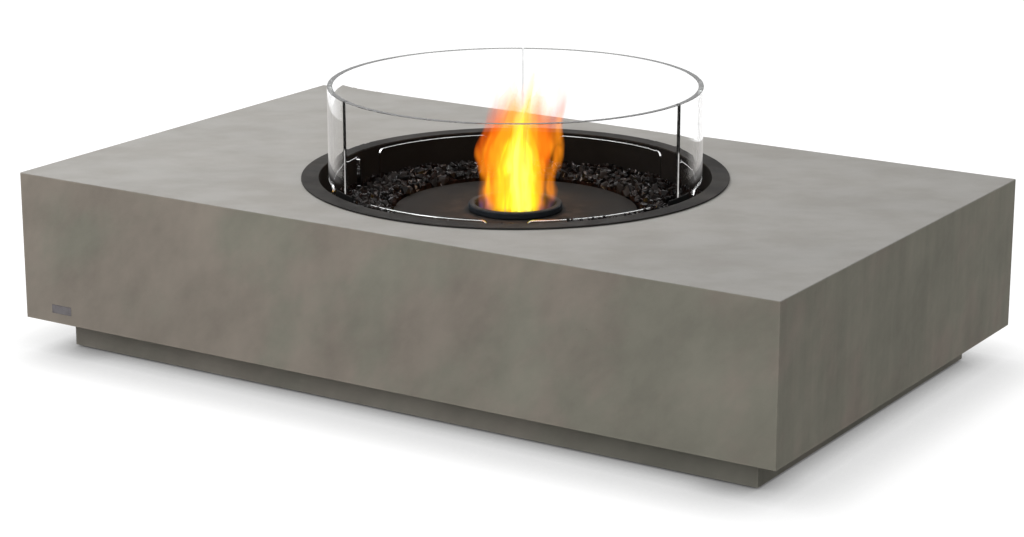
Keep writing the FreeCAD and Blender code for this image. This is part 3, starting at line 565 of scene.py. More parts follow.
@dataclass(frozen=True)
class BlackStone(Finish):
    """Chips of black glass and dark stone, each with its own tone, and a few facets painted pale as glints.
    """

    slot_name: str = "black_glass_stone"
    dark: Colour = linear(13, 12, 12)
    grey: Colour = linear(37, 33, 31)
    rusty: Colour = linear(50, 35, 30)
    # The pale colour of the painted glints: a painted highlight.
    painted_glint: Colour = linear(140, 140, 142)

    def make(self, graph: ShaderGraph) -> bpy.types.Material:
        """Build the material's nodes."""
        tone = graph.attribute("tone")
        veins = graph.remap(graph.noise(160.0, 4.0, 0.6), 0.4, 0.7)
        colour = graph.blend(graph.remap(tone, 0.3, 1.0), self.dark, self.grey)
        reddish = graph.math("MULTIPLY", graph.remap(tone, 0.05, 0.3, 0.8, 0.0), veins)
        colour = graph.blend(reddish, colour, self.rusty)
        # Painted highlight: the marked facets are painted pale where a noise allows, as glints.
        bright = graph.math("MULTIPLY", graph.attribute("facet"),
                            graph.remap(graph.noise(210.0, 2.0, shift=3.0), 0.42, 0.6))
        colour = graph.blend(bright, colour, self.painted_glint)
        rough = graph.math("ADD", graph.remap(tone, 0.2, 0.9, 0.16, 0.45),
                           graph.math("MULTIPLY", veins, 0.12))
        pitted = graph.noise(420.0, 3.0, 0.6)
        return graph.finish(graph.principled(base_color=colour, roughness=rough, specular_ior_level=0.08,
                                             normal=graph.bump(pitted, 0.0004, 0.35)))


@dataclass(frozen=True)
class ScreenGlass(Finish):
    """Clear tempered glass with ground arrises, that lets lamp light through.

    Its flat faces reflect nothing where they are seen squarely. Where its outside is seen at a
    slant it is painted darker and glows pale, a painted reflection, and light trapped inside it
    is thrown back in full, which brightens its edges. Its arrises are painted dark grey, a
    painted shade.
    """

    slot_name: str = "clear_glass"
    clear: Colour = (1.0, 1.0, 1.0)
    edge: Colour = (0.9, 0.95, 0.93)
    # The dark grey painted on the arrises: painted shade.
    arris: Colour = (0.28, 0.3, 0.29)
    painted_sheen: Colour = (0.15, 0.15, 0.15)
    painted_sheen_colour: Colour = (1.0, 0.975, 0.965)
    painted_sheen_strength: float = 0.26
    painted_sheen_from: float = 0.28
    painted_sheen_fade: float = 0.03
    bend: float = 1.4
    ground_rough: float = 0.05
    least_slant: float = 0.58
    full_slant: float = 0.93
    trap_slant: float = 0.28
    trap_fade: float = 0.04
    shiny_painted_sheen: float = 0.1

    def make(self, graph: ShaderGraph) -> bpy.types.Material:
        """Build the material's nodes."""
        ground = graph.attribute("ground")
        arris = graph.attribute("arris")
        # Painted shade: the arrises are painted dark grey, mottled along their length, as the dark lines
        # that the glass's edges show.
        painted_edge_shade = graph.remap(graph.noise(34.0, 4.0, 0.6, shift=2.0), 0.42, 0.56, 0.35, 1.0)
        colour = graph.blend(ground, self.clear, self.edge)
        colour = graph.blend(graph.math("MULTIPLY", arris, painted_edge_shade), colour, self.arris)
        slant = graph.node("ShaderNodeLayerWeight", {"Blend": 0.5}).outputs["Facing"]
        inside = graph.node("ShaderNodeNewGeometry").outputs["Backfacing"]
        trapped = graph.math("MULTIPLY", inside,
                             graph.remap(slant, self.trap_slant - self.trap_fade,
                                         self.trap_slant + self.trap_fade))
        # Painted reflection: where the outside is seen at a slant it is painted darker and made to glow
        # pale.
        painted_sheen = graph.math("MULTIPLY", graph.remap(slant, self.least_slant, self.full_slant),
                            graph.math("SUBTRACT", graph.attribute("outer"), inside))
        painted_sheen = graph.math("MULTIPLY", graph.math("MAXIMUM", painted_sheen, 0.0),
                            graph.remap(graph.height(), self.painted_sheen_from, self.painted_sheen_from + self.painted_sheen_fade))
        colour = graph.blend(painted_sheen, colour, self.painted_sheen)
        rough = graph.math("MULTIPLY", ground, self.ground_rough)
        # The strength of the painted reflection's glow.
        glow = graph.math("MULTIPLY", painted_sheen, self.painted_sheen_strength)
        pane = graph.principled(base_color=colour, roughness=rough, transmission_weight=1.0,
                                ior=self.bend, emission_color=self.painted_sheen_colour, emission_strength=glow)
        shiny = graph.math("MAXIMUM", trapped, graph.remap(painted_sheen, 0.0, self.shiny_painted_sheen), ground, arris)
        see_through = graph.node("ShaderNodeBsdfRefraction",
                                 {"Color": opaque(self.clear), "Roughness": 0.0, "IOR": self.bend})
        pane = graph.node("ShaderNodeMixShader", {0: shiny, 1: see_through, 2: pane})
        open_air = graph.node("ShaderNodeBsdfTransparent")
        rays = graph.node("ShaderNodeLightPath")
        lets_by = graph.math("MAXIMUM", rays.outputs["Is Shadow Ray"], rays.outputs["Is Diffuse Ray"])
        mixed = graph.node("ShaderNodeMixShader", {0: lets_by, 1: pane, 2: open_air})
        return graph.finish(mixed, lights_others=False)


@dataclass(frozen=True)
class PaintedEndReflection(Finish):
    """The panels' upright ends as a painted reflection: dark and mottled, the outer half glowing low down.
    """

    slot_name: str = "clear_glass"
    variant: str = "ground"
    dark: Colour = linear(20, 20, 20)
    grey: Colour = linear(86, 86, 84)
    bright: Colour = (1.0, 0.98, 0.96)
    painted_glow_strength: float = 0.62
    middle_radius: float = 0.2738
    middle_blur: float = 0.0005
    painted_glow_top: float = 0.345
    top_blur: float = 0.003

    def make(self, graph: ShaderGraph) -> bpy.types.Material:
        """Build the material's nodes."""
        # Painted reflection: below a height the outer half glows pale and the whole end is painted dark;
        # above it the end is painted mottled dark grey.
        outside = graph.remap(graph.radius(), self.middle_radius - self.middle_blur,
                              self.middle_radius + self.middle_blur)
        lower = graph.remap(graph.height(), self.painted_glow_top - self.top_blur,
                            self.painted_glow_top + self.top_blur, 1.0, 0.0)
        mottled = graph.remap(graph.noise(150.0, 3.0, 0.6), 0.35, 0.65)
        upper = graph.blend(mottled, self.dark, self.grey)
        colour = graph.blend(lower, upper, self.dark)
        lit = graph.math("MULTIPLY", outside, lower, self.painted_glow_strength,
                         graph.remap(mottled, 0.0, 1.0, 0.75, 1.0))
        end = graph.principled(base_color=colour, roughness=0.6, specular_ior_level=0.1,
                               emission_color=self.bright, emission_strength=lit)
        return graph.finish(end, lights_others=False)


@dataclass(frozen=True)
class SatinPlate(Finish):
    """The blank plate's satin metal, brushed along its length."""

    slot_name: str = "badge"
    base: Colour = linear(112, 109, 111)
    worn: Colour = linear(92, 88, 89)

    def make(self, graph: ShaderGraph) -> bpy.types.Material:
        """Build the material's nodes."""
        brushed = graph.noise(1.0, 3.0, 0.7, graph.stretched((60.0, 60.0, 2600.0)))
        stains = graph.remap(graph.noise(120.0, 4.0, 0.6, shift=2.0), 0.4, 0.7, 0.1, 0.8)
        rough = graph.remap(brushed, 0.3, 0.7, 0.32, 0.5)
        return graph.finish(graph.principled(base_color=graph.blend(stains, self.base, self.worn),
                                             metallic=0.75, roughness=rough,
                                             normal=graph.bump(brushed, 0.00004, 0.5)))


@dataclass(frozen=True)
class FlameGlow(Finish):
    """A flame's light: yellow within, orange at its sides and nearly clear at its tips."""

    slot_name: str = "flame_glow"
    white_hot: Colour = (1.0, 1.0, 0.12)
    core: Colour = (1.0, 0.72, 0.02)
    body: Colour = (0.95, 0.27, 0.01)
    skirt: Colour = (0.7, 0.10, 0.004)
    tip: Colour = (1.0, 0.50, 0.20)
    root_blue: Colour = (0.16, 0.08, 0.22)
    strength: float = 1.75
    density: float = 0.52
    core_shift: float = 0.1
    raggedness: float = 0.07
    lick_heat: float = 0.24
    wisp_heat: float = 0.14

    def make(self, graph: ShaderGraph) -> bpy.types.Material:
        """Build the material's nodes."""
        across = graph.attribute("across")
        rise = graph.attribute("rise")
        licks = graph.noise(24.0, 3.0, 0.5, graph.stretched((1.0, 1.0, 0.3)))
        wisps = graph.noise(38.0, 2.0, 0.45, graph.stretched((1.0, 1.0, 0.25)), 5.0)
        side = graph.math("SUBTRACT", 1.0, graph.math("ABSOLUTE", across))
        ragged = graph.math("ADD", side, graph.swing(licks, self.raggedness))
        edge = graph.remap(ragged, 0.03, 0.15)
        reach = graph.math("SUBTRACT", rise, graph.remap(wisps, 0.3, 0.7, 0.0, 0.24))
        fade = graph.remap(reach, 0.6, 0.97, 1.0, 0.0)
        root = graph.remap(rise, 0.0, 0.05, 0.0, 1.0)
        thin = graph.remap(rise, 0.6, 0.95, self.density, self.density * 0.6)
        filled = graph.remap(wisps, 0.3, 0.6, 0.65, 1.0)
        pockets = graph.noise(30.0, 2.0, 0.5, graph.stretched((1.0, 1.0, 0.4)), 9.0)
        pocket = graph.remap(pockets, 0.42, 0.56, 0.12, 1.0)
        kept = graph.math("MAXIMUM", graph.remap(side, 0.3, 0.6), graph.remap(rise, 0.4, 0.55))
        filled = graph.math("MULTIPLY", filled, graph.math("MAXIMUM", pocket, kept))
        alpha = graph.math("MULTIPLY", graph.math("MULTIPLY", edge, fade),
                           graph.math("MULTIPLY", root, thin), filled)
        core_width = graph.remap(rise, 0.0, 1.0, 1.25, 0.36)
        off_core = graph.math("ABSOLUTE", graph.math("SUBTRACT", across, self.core_shift))
        warmth = graph.math("SUBTRACT", 1.0, graph.math("DIVIDE", off_core, core_width))
        warmth = graph.math("ADD", warmth, graph.swing(licks, self.lick_heat),
                            graph.swing(wisps, self.wisp_heat),
                            graph.math("SUBTRACT", graph.attribute("hotness"), 1.0))
        warmth = graph.math("SUBTRACT", warmth, graph.remap(rise, 0.35, 0.85, 0.0, 0.42))
        lifted = graph.math("ADD", warmth, graph.remap(rise, 0.35, 0.75, 0.0, 0.6))
        colour = graph.blend(graph.remap(lifted, -0.15, 0.2), self.skirt, self.body)
        colour = graph.blend(graph.remap(warmth, 0.3, 0.56), colour, self.core)
        colour = graph.blend(graph.remap(warmth, 0.54, 0.82), colour, self.white_hot)
        colour = graph.blend(graph.remap(rise, 0.78, 1.0), colour, self.tip)
        rooted = graph.math("MULTIPLY", graph.remap(rise, 0.06, 0.16, 1.0, 0.0),
                            graph.remap(side, 0.1, 0.4, 1.0, 0.0))
        colour = graph.blend(rooted, colour, self.root_blue)
        glow = graph.node("ShaderNodeEmission", {"Color": colour, "Strength": self.strength})
        clear = graph.node("ShaderNodeBsdfTransparent")
        return graph.finish(graph.node("ShaderNodeMixShader", {0: alpha, 1: clear, 2: glow}))


CONCRETE = CastConcrete()
PLINTH_PAINTED_PALER = PlinthConcretePaintedPaler()
RING_STEEL = PowderCoat()
# Painted shade: a darker copy of the ring's coat for the well's wall, shelf and bucket and the glass
# holders, which stands for the shade inside the well.
SHADED_BLACK_STEEL = PowderCoat(variant="inner", base=linear(31, 31, 31), dust=linear(52, 51, 50),
                         dust_share=0.3, gloss=0.01)
BURNER_BLACK = BurnerCoat()
# Painted sheen: the collar's copy of the burner coat is painted bluish grey, which stands for the bluish
# sheen on its shiny top.
COLLAR_PAINTED_SHEEN = BurnerCoat(variant="collar", base=linear(38, 42, 46), ash=linear(60, 66, 72),
                          scorched=linear(52, 54, 58), gloss=0.03)
ZINC = BareMetal()
BURNER_STEEL = BareMetal(slot_name="burner_steel", base=linear(150, 148, 144), stain=linear(98, 90, 80),
                         lines=(30.0, 30.0, 500.0), roughness=0.42)
FRAME_STEEL = PowderCoat(slot_name="frame_steel", base=linear(50, 51, 53), dust=linear(92, 89, 84),
                         dust_share=0.5, gloss=0.2)
RUBBER = Rubber()
GASKET = Rubber(slot_name="gasket", base=linear(48, 47, 46), bloom=linear(80, 78, 75), roughness=0.85)
CLEAR_RUBBER = ClearRubber()
FIBRE = WickFibre()
STONE = BlackStone()
GLASS = ScreenGlass()
GLASS_END_PAINTED_REFLECTION = PaintedEndReflection()
PLATE = SatinPlate()
FLAME = FlameGlow()


# Mesh tools

def dress(node: str, finish: Finish) -> None:
    """Give a kept CAD node a finish."""
    data = frame["nodes"][node].data
    data.materials.clear()
    data.materials.append(finish.material())
    log.info("dressed %s", node)


def new_piece(name: str, work: bmesh.types.BMesh, finish: Finish, body: str,
              stands_for: Sequence[str] = (), surface: Surface = Surface.SMOOTH) -> bpy.types.Object:
    """Turn a mesh in the making into a finished piece.

    Args:
        name: The piece's name.
        work: The mesh, freed here.
        finish: Its finish.
        body: The body that it rides on.
        stands_for: The CAD nodes that it replaces.
        surface: How its faces are shaded.

    Returns:
        The piece.
    """
    mesh = bpy.data.meshes.new(name)
    for face in work.faces:
        face.smooth = surface is Surface.SMOOTH
    work.to_mesh(mesh)
    work.free()
    return place_piece(name, mesh, finish, body, stands_for)


def place_piece(name: str, mesh: bpy.types.Mesh, finish: Finish, body: str,
                stands_for: Sequence[str] = ()) -> bpy.types.Object:
    """Put a finished mesh in the scene on its body, and hide the CAD nodes that it replaces."""
    if not mesh.materials:
        mesh.materials.append(finish.material())
    piece = bpy.data.objects.new(name, mesh)
    bpy.context.scene.collection.objects.link(piece)
    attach(piece, body)
    if stands_for:
        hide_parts(*stands_for)
    log.info("made %s with %d faces", name, len(mesh.polygons))
    return piece


def signed_area(outline: Sequence[Point]) -> float:
    """Give an outline's area, positive where it runs anticlockwise."""
    pairs = zip(outline, [*outline[1:], outline[0]])
    return sum(a[0] * b[1] - b[0] * a[1] for a, b in pairs) / 2


def rounded(outline: Sequence[Point], radius: float, steps: int = 3) -> list[Point]:
    """Round the corners of a closed outline that don't lie on the axis.

    Each round has a spare point beside both its ends, which keeps the shading of the flat
    stretches flat.

    Args:
        outline: The corners, in order.
        radius: The largest radius that a corner may get.
        steps: Straight pieces to each round.

    Returns:
        The points of the new outline.
    """
    count = len(outline)
    result: list[Point] = []
    for index, corner in enumerate(outline):
        here = Vector(corner)
        before = Vector(outline[index - 1]) - here
        after = Vector(outline[(index + 1) % count]) - here
        if corner[0] < 1e-6:
            result.append(corner)
            continue
        turn = math.pi - before.angle(after)
        reach = min(radius * math.tan(turn / 2), 0.3 * before.length, 0.3 * after.length)
        centre_reach = reach / math.cos(math.pi / 2 - turn / 2) if turn > 0.05 else reach
        start = here + before.normalized() * reach
        stop = here + after.normalized() * reach
        middle = here + (before.normalized() + after.normalized()).normalized() * centre_reach
        arm = (start - middle).length
        result.append(tuple(here + before.normalized() * reach * 1.6))
        for step in range(steps + 1):
            share = step / steps
            spoke = (start - middle) * (1 - share) + (stop - middle) * share
            result.append(tuple(middle + spoke.normalized() * arm))
        result.append(tuple(here + after.normalized() * reach * 1.6))
    return result


def turned(outline: Sequence[Point], segments: int = 160,
           centre: Point = (0.0, 0.0)) -> bmesh.types.BMesh:
    """Turn a closed outline of radii and heights round an upright axis, with its faces outwards."""
    points = list(outline) if signed_area(outline) > 0 else list(reversed(outline))
    work = bmesh.new()
    rings = []
    for radius, height in points:
        if radius < 1e-6:
            rings.append([work.verts.new((*centre, height))] * segments)
            continue
        angles = (2 * math.pi * index / segments for index in range(segments))
        rings.append([work.verts.new((centre[0] + radius * math.cos(angle),
                                      centre[1] + radius * math.sin(angle), height)) for angle in angles])
    for ring, following in zip(rings, [*rings[1:], rings[0]]):
        for index in range(segments):
            beside = (index + 1) % segments
            corners = [ring[index], ring[beside], following[beside], following[index]]
            distinct = [vert for number, vert in enumerate(corners) if vert not in corners[:number]]
            if len(distinct) > 2:
                work.faces.new(distinct)
    return work


def ring_outline(inner: float, outer: float, bottom: float, top: float) -> list[Point]:
    """Give the outline of a plain ring or tube."""
    return [(inner, bottom), (outer, bottom), (outer, top), (inner, top)]


def join_into(work: bmesh.types.BMesh, other: bmesh.types.BMesh) -> None:
    """Add one mesh in the making to another, and free it."""
    spare = bpy.data.meshes.new("spare")
    other.to_mesh(spare)
    other.free()
    work.from_mesh(spare)
    bpy.data.meshes.remove(spare)


# Geometry Nodes tools

class GeometryGraph(NodeGraph):
    """A Geometry Nodes tree with named inputs, run once on a carrier mesh."""

    def __init__(self, name: str) -> None:
        """Start a tree with one geometry input and one geometry output."""
        super().__init__(bpy.data.node_groups.new(name, "GeometryNodeTree"))
        self.values: dict[str, object] = {}
        self.tree.interface.new_socket("Geometry", in_out="INPUT", socket_type="NodeSocketGeometry")
        self.tree.interface.new_socket("Geometry", in_out="OUTPUT", socket_type="NodeSocketGeometry")
        self.entry = self.node("NodeGroupInput")

    def size(self, name: str, value: object, kind: str = "NodeSocketFloat") -> bpy.types.NodeSocket:
        """Add a named input and keep the value that it gets."""
        self.tree.interface.new_socket(name, in_out="INPUT", socket_type=kind)
        self.values[name] = value
        return self.entry.outputs[name]

    def close(self, geometry: object, material: object) -> None:
        """End the tree in real geometry with a material."""
        real = self.node("GeometryNodeRealizeInstances", {0: geometry})
        coated = self.node("GeometryNodeSetMaterial", {"Geometry": real, "Material": material})
        self.node("NodeGroupOutput", {0: coated})

    def run(self, name: str, carrier: bpy.types.Mesh) -> bpy.types.Mesh:
        """Run the tree on a carrier mesh.

        Args:
            name: The name of the new mesh.
            carrier: The mesh that goes in.

        Returns:
            A plain mesh of what came out.
        """
        holder = bpy.data.objects.new("carrier", carrier)
        bpy.context.scene.collection.objects.link(holder)
        modifier = holder.modifiers.new("nodes", "NODES")
        modifier.node_group = self.tree
        for socket in self.tree.interface.items_tree:
            if socket.in_out == "INPUT" and socket.name in self.values:
                modifier[socket.identifier] = self.values[socket.name]
        depsgraph = bpy.context.evaluated_depsgraph_get()
        mesh = bpy.data.meshes.new_from_object(holder.evaluated_get(depsgraph), depsgraph=depsgraph)
        mesh.name = name
        holder.modifiers.remove(modifier)
        bpy.data.objects.remove(holder)
        return mesh


# The concrete block and what stands inside it

@dataclass
class ConcreteBlock:
    """The cast block, its plinth boards and the blank plate on the front."""

    plate_corner: float = 0.0012
    plate_round: float = 0.0003
    boards: tuple[str, ...] = ("plinth_front", "plinth_back", "plinth_left", "plinth_right")

    def build(self) -> None:
        """Dress the block and the boards, and make the plate."""
        dress("concrete_shell", CONCRETE)
        for board in self.boards:
            dress(board, PLINTH_PAINTED_PALER)
        self.make_plate()

    def make_plate(self) -> None:
        """Make the blank plate with rounded corners and a softened face."""
        near, far = low("badge_plate"), high("badge_plate")
        corners = [(near.x, near.z), (far.x, near.z), (far.x, far.z), (near.x, far.z)]
        work = bmesh.new()
        outline = rounded(corners, self.plate_corner, 5)
        front = [work.verts.new((x, near.y, z)) for x, z in outline]
        back = [work.verts.new((x, far.y, z)) for x, z in outline]
        work.faces.new(front)
        work.faces.new(list(reversed(back)))
        count = len(outline)
        for index in range(count):
            beside = (index + 1) % count
            work.faces.new([front[beside], front[index], back[index], back[beside]])
        rim = [edge for edge in work.edges if all(vert in front for vert in edge.verts)]
        bmesh.ops.bevel(work, geom=rim, offset=self.plate_round, segments=2, affect="EDGES", profile=0.6)
        bmesh.ops.recalc_face_normals(work, faces=work.faces)
        new_piece("badge_plate_satin", work, PLATE, TABLE, ["badge_plate"], Surface.FLAT)


@dataclass
class BaseFrame:
    """The hidden steel frame, its pads, brackets and bolts."""

    steel: tuple[str, ...] = ("rail_front", "rail_back", "rail_left", "rail_right", "frame_posts",
                              "bearer_left", "bearer_right", "shell_brackets")

    def build(self) -> None:
        """Dress every piece of the frame."""
        for node in self.steel:
            dress(node, FRAME_STEEL)
        dress("bearer_pads", RUBBER)
        dress("bracket_bolts", ZINC)
        dress("foot_inserts", ZINC)


@dataclass
class LevellingFoot:
    """One screw foot: a rubber pad and a threaded stud with a six-sided collar."""

    corner: str
    pitch: float = 0.00175
    crest: float = 0.006
    thread_depth: float = 0.0007
    collar_radius: float = 0.0098
    collar_height: float = 0.0069
    collar_gap: float = 0.0002
    pad_round: float = 0.001
    steps_per_turn: int = 28

    def __post_init__(self) -> None:
        """Find the foot's place from its pad."""
        near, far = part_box("foot_pad_" + self.corner)
        self.centre = ((near.x + far.x) / 2, (near.y + far.y) / 2)
        self.pad_radius = (far.x - near.x) / 2
        self.pad_top = far.z

    def build(self) -> None:
        """Make the pad and the stud."""
        self.make_pad()
        self.make_stud()

    def make_pad(self) -> None:
        """Make the pad with soft edges, a sloping shoulder and a socket for the stud."""
        rim = 0.006
        boss = 0.015
        socket = self.crest + 0.00005
        floor = 0.004
        outline = [(0.0, 0.0), (self.pad_radius, 0.0), (self.pad_radius, rim), (boss, self.pad_top),
                   (socket, self.pad_top), (socket, floor), (0.0, floor)]
        work = turned(rounded(outline, self.pad_round), 72, self.centre)
        new_piece("foot_pad_rubber_" + self.corner, work, RUBBER, "foot_pad_" + self.corner,
                  ["foot_pad_" + self.corner])

    def make_stud(self) -> None:
        """Make the stud's core and collar, and wind its thread round it."""
        name = "foot_stud_" + self.corner
        near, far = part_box(name)
        core_radius = self.crest - self.thread_depth
        core = rounded([(0.0, near.z), (core_radius, near.z), (core_radius, far.z), (0.0, far.z)], 0.0006)
        work = turned(core, 40, self.centre)
        collar_low = self.pad_top + self.collar_gap
        join_into(work, self.hexagon(collar_low, collar_low + self.collar_height))
        carrier = bpy.data.meshes.new("stud")
        for face in work.faces:
            face.smooth = False
        work.to_mesh(carrier)
        work.free()
        start = collar_low + self.collar_height
        mesh = self.thread_tree(start, far.z - self.pitch).run(name + "_threaded", carrier)
        place_piece(name + "_threaded", mesh, ZINC, name, [name])

    def hexagon(self, bottom: float, top: float) -> bmesh.types.BMesh:
        """Make the six-sided collar with softened edges."""
        work = bmesh.new()
        rings = []
        for height in (bottom, top):
            turns = [math.radians(60 * side) for side in range(6)]
            rings.append([work.verts.new((self.centre[0] + self.collar_radius * math.cos(turn),
                                          self.centre[1] + self.collar_radius * math.sin(turn), height))
                          for turn in turns])
        work.faces.new(list(reversed(rings[0])))
        work.faces.new(rings[1])
        for side in range(6):
            beside = (side + 1) % 6
            work.faces.new([rings[0][side], rings[0][beside], rings[1][beside], rings[1][side]])
        bmesh.ops.bevel(work, geom=list(work.edges), offset=0.0005, segments=2, affect="EDGES",
                        profile=0.5)
        return work

    def thread_tree(self, start: float, stop: float) -> GeometryGraph:
        """Build the tree that winds a right-handed thread between two heights."""
        graph = GeometryGraph("thread_" + self.corner)
        turns = (stop - start) / self.pitch
        spiral = graph.node("GeometryNodeCurveSpiral", {
            "Resolution": graph.size("Steps per turn", self.steps_per_turn, "NodeSocketInt"),
            "Rotations": graph.size("Turns", turns),
            "Start Radius": graph.size("Core radius", self.crest - self.thread_depth),
            "End Radius": graph.entry.outputs["Core radius"],
            "Height": graph.size("Thread length", stop - start),
            "Reverse": True})
        upright = graph.node("GeometryNodeSetCurveNormal", {0: spiral}, mode="Z_UP")
        ridge = graph.node("GeometryNodeCurvePrimitiveCircle",
                           {"Resolution": 4, "Radius": graph.size("Thread depth", self.thread_depth)})
        swept = graph.node("GeometryNodeCurveToMesh", {0: upright, 1: ridge, "Fill Caps": True})
        flat = graph.node("GeometryNodeSetShadeSmooth", {0: swept, "Shade Smooth": False})
        place = graph.size("Place", (*self.centre, start), "NodeSocketVector")
        moved = graph.node("GeometryNodeTransform", {"Geometry": flat, "Translation": place})
        joined = graph.node("GeometryNodeJoinGeometry")
        graph.put(joined.inputs[0], graph.entry.outputs["Geometry"])
        graph.put(joined.inputs[0], moved.outputs[0])
        graph.close(joined, graph.size("Metal", ZINC.material(), "NodeSocketMaterial"))
        return graph


# The fire well

@dataclass
class FireWell:
    """The steel lining of the well: flange, wall, shelf and bucket, with softened edges."""

    wall_inner: float = 0.2915
    wall_outer: float = 0.2935
    flange_outer: float = 0.3175
    sheet_round: float = 0.0007
    shelf_gap: float = 0.006
    bucket_wall: float = 0.0015
    drain: float = 0.01

    def build(self) -> None:
        """Make the four pieces and dress the strip under the flange."""
        dress("flange_gasket", GASKET)
        self.ring("well_flange", self.wall_inner, self.flange_outer, RING_STEEL)
        self.ring("well_wall", self.wall_inner, self.wall_outer, SHADED_BLACK_STEEL)
        self.ring("stone_shelf", self.outer_radius("burner_casing") + self.shelf_gap, self.wall_outer,
                  SHADED_BLACK_STEEL)
        self.make_bucket()

    def outer_radius(self, node: str) -> float:
        """Give the outer radius of a turned node."""
        return high(node).x

    def ring(self, node: str, inner: float, outer: float, finish: Finish) -> None:
        """Make one ring of the lining in its node's heights."""
        outline = ring_outline(inner, outer, low(node).z, high(node).z)
        new_piece(node + "_coated", turned(rounded(outline, self.sheet_round), 192), finish, TABLE,
                  [node])

    def make_bucket(self) -> None:
        """Make the deep bucket under the shelf, with its drain hole."""
        outer = self.outer_radius("burner_bucket")
        bottom, top = low("burner_bucket").z, high("burner_bucket").z
        inner = outer - self.bucket_wall
        floor = bottom + self.bucket_wall
        outline = [(self.drain, bottom), (outer, bottom), (outer, top), (inner, top), (inner, floor),
                   (self.drain, floor)]
        new_piece("burner_bucket_coated", turned(rounded(outline, 0.0006), 128), SHADED_BLACK_STEEL, TABLE,
                  ["burner_bucket"])


@dataclass
class Burner:
    """The burner: a top plate over a casing with the tank, the wick and a loose collar."""

    plate_rim: float = 0.0025
    plate_sheet: float = 0.002
    casing_sheet: float = 0.0015
    tank_radius: float = 0.12
    edge_round: float = 0.0012
    collar_bore: float = 0.06
    collar_sleeve: float = 0.0615
    collar_lift: float = 0.0002
    collar_round: float = 0.0025

    def build(self) -> None:
        """Make the plate, casing, tank and collar, and dress what lies inside."""
        self.make_plate()
        self.make_can("burner_casing", high("burner_casing").x)
        self.make_can("fuel_tank", self.tank_radius)
        dress("tank_support", BURNER_STEEL)
        dress("wick_pad", FIBRE)
        dress("wick_grille", BURNER_STEEL)
        self.make_collar()

    def make_plate(self) -> None:
        """Make the top plate with its turned-down rim and open mouth."""
        outer = high("burner_top_plate").x
        bottom, top = low("burner_top_plate").z, high("burner_top_plate").z
        mouth = 0.062
        under = top - self.plate_sheet
        inner = outer - self.plate_rim
        outline = [(mouth, under), (inner, under), (inner, bottom), (outer, bottom), (outer, top),
                   (mouth, top)]
        new_piece("burner_top_plate_coated", turned(rounded(outline, self.edge_round, 4), 192), BURNER_BLACK,
                  BURNER, ["burner_top_plate"])

    def make_can(self, node: str, outer: float) -> None:
        """Make an open can of thin steel in its node's heights."""
        bottom, top = low(node).z, high(node).z
        inner = outer - self.casing_sheet
        floor = bottom + self.casing_sheet
        outline = [(0.0, bottom), (outer, bottom), (outer, top), (inner, top), (inner, floor),
                   (0.0, floor)]
        new_piece(node + "_steel", turned(rounded(outline, 0.0006), 144), BURNER_STEEL, BURNER, [node])

    def make_collar(self) -> None:
        """Make the loose collar with its rounded top and the sleeve in the plate's mouth."""
        outer = high("burner_collar").x
        bottom, top = low("burner_collar").z, high("burner_collar").z
        seat = high("burner_top_plate").z + self.collar_lift
        outline = [(self.collar_bore, bottom), (self.collar_sleeve, bottom), (self.collar_sleeve, seat),
                   (outer, seat), (outer, top), (self.collar_bore, top)]
        new_piece("burner_collar_coated", turned(rounded(outline, self.collar_round, 5), 128), COLLAR_PAINTED_SHEEN,
                  COLLAR, ["burner_collar"])


# The glass screen

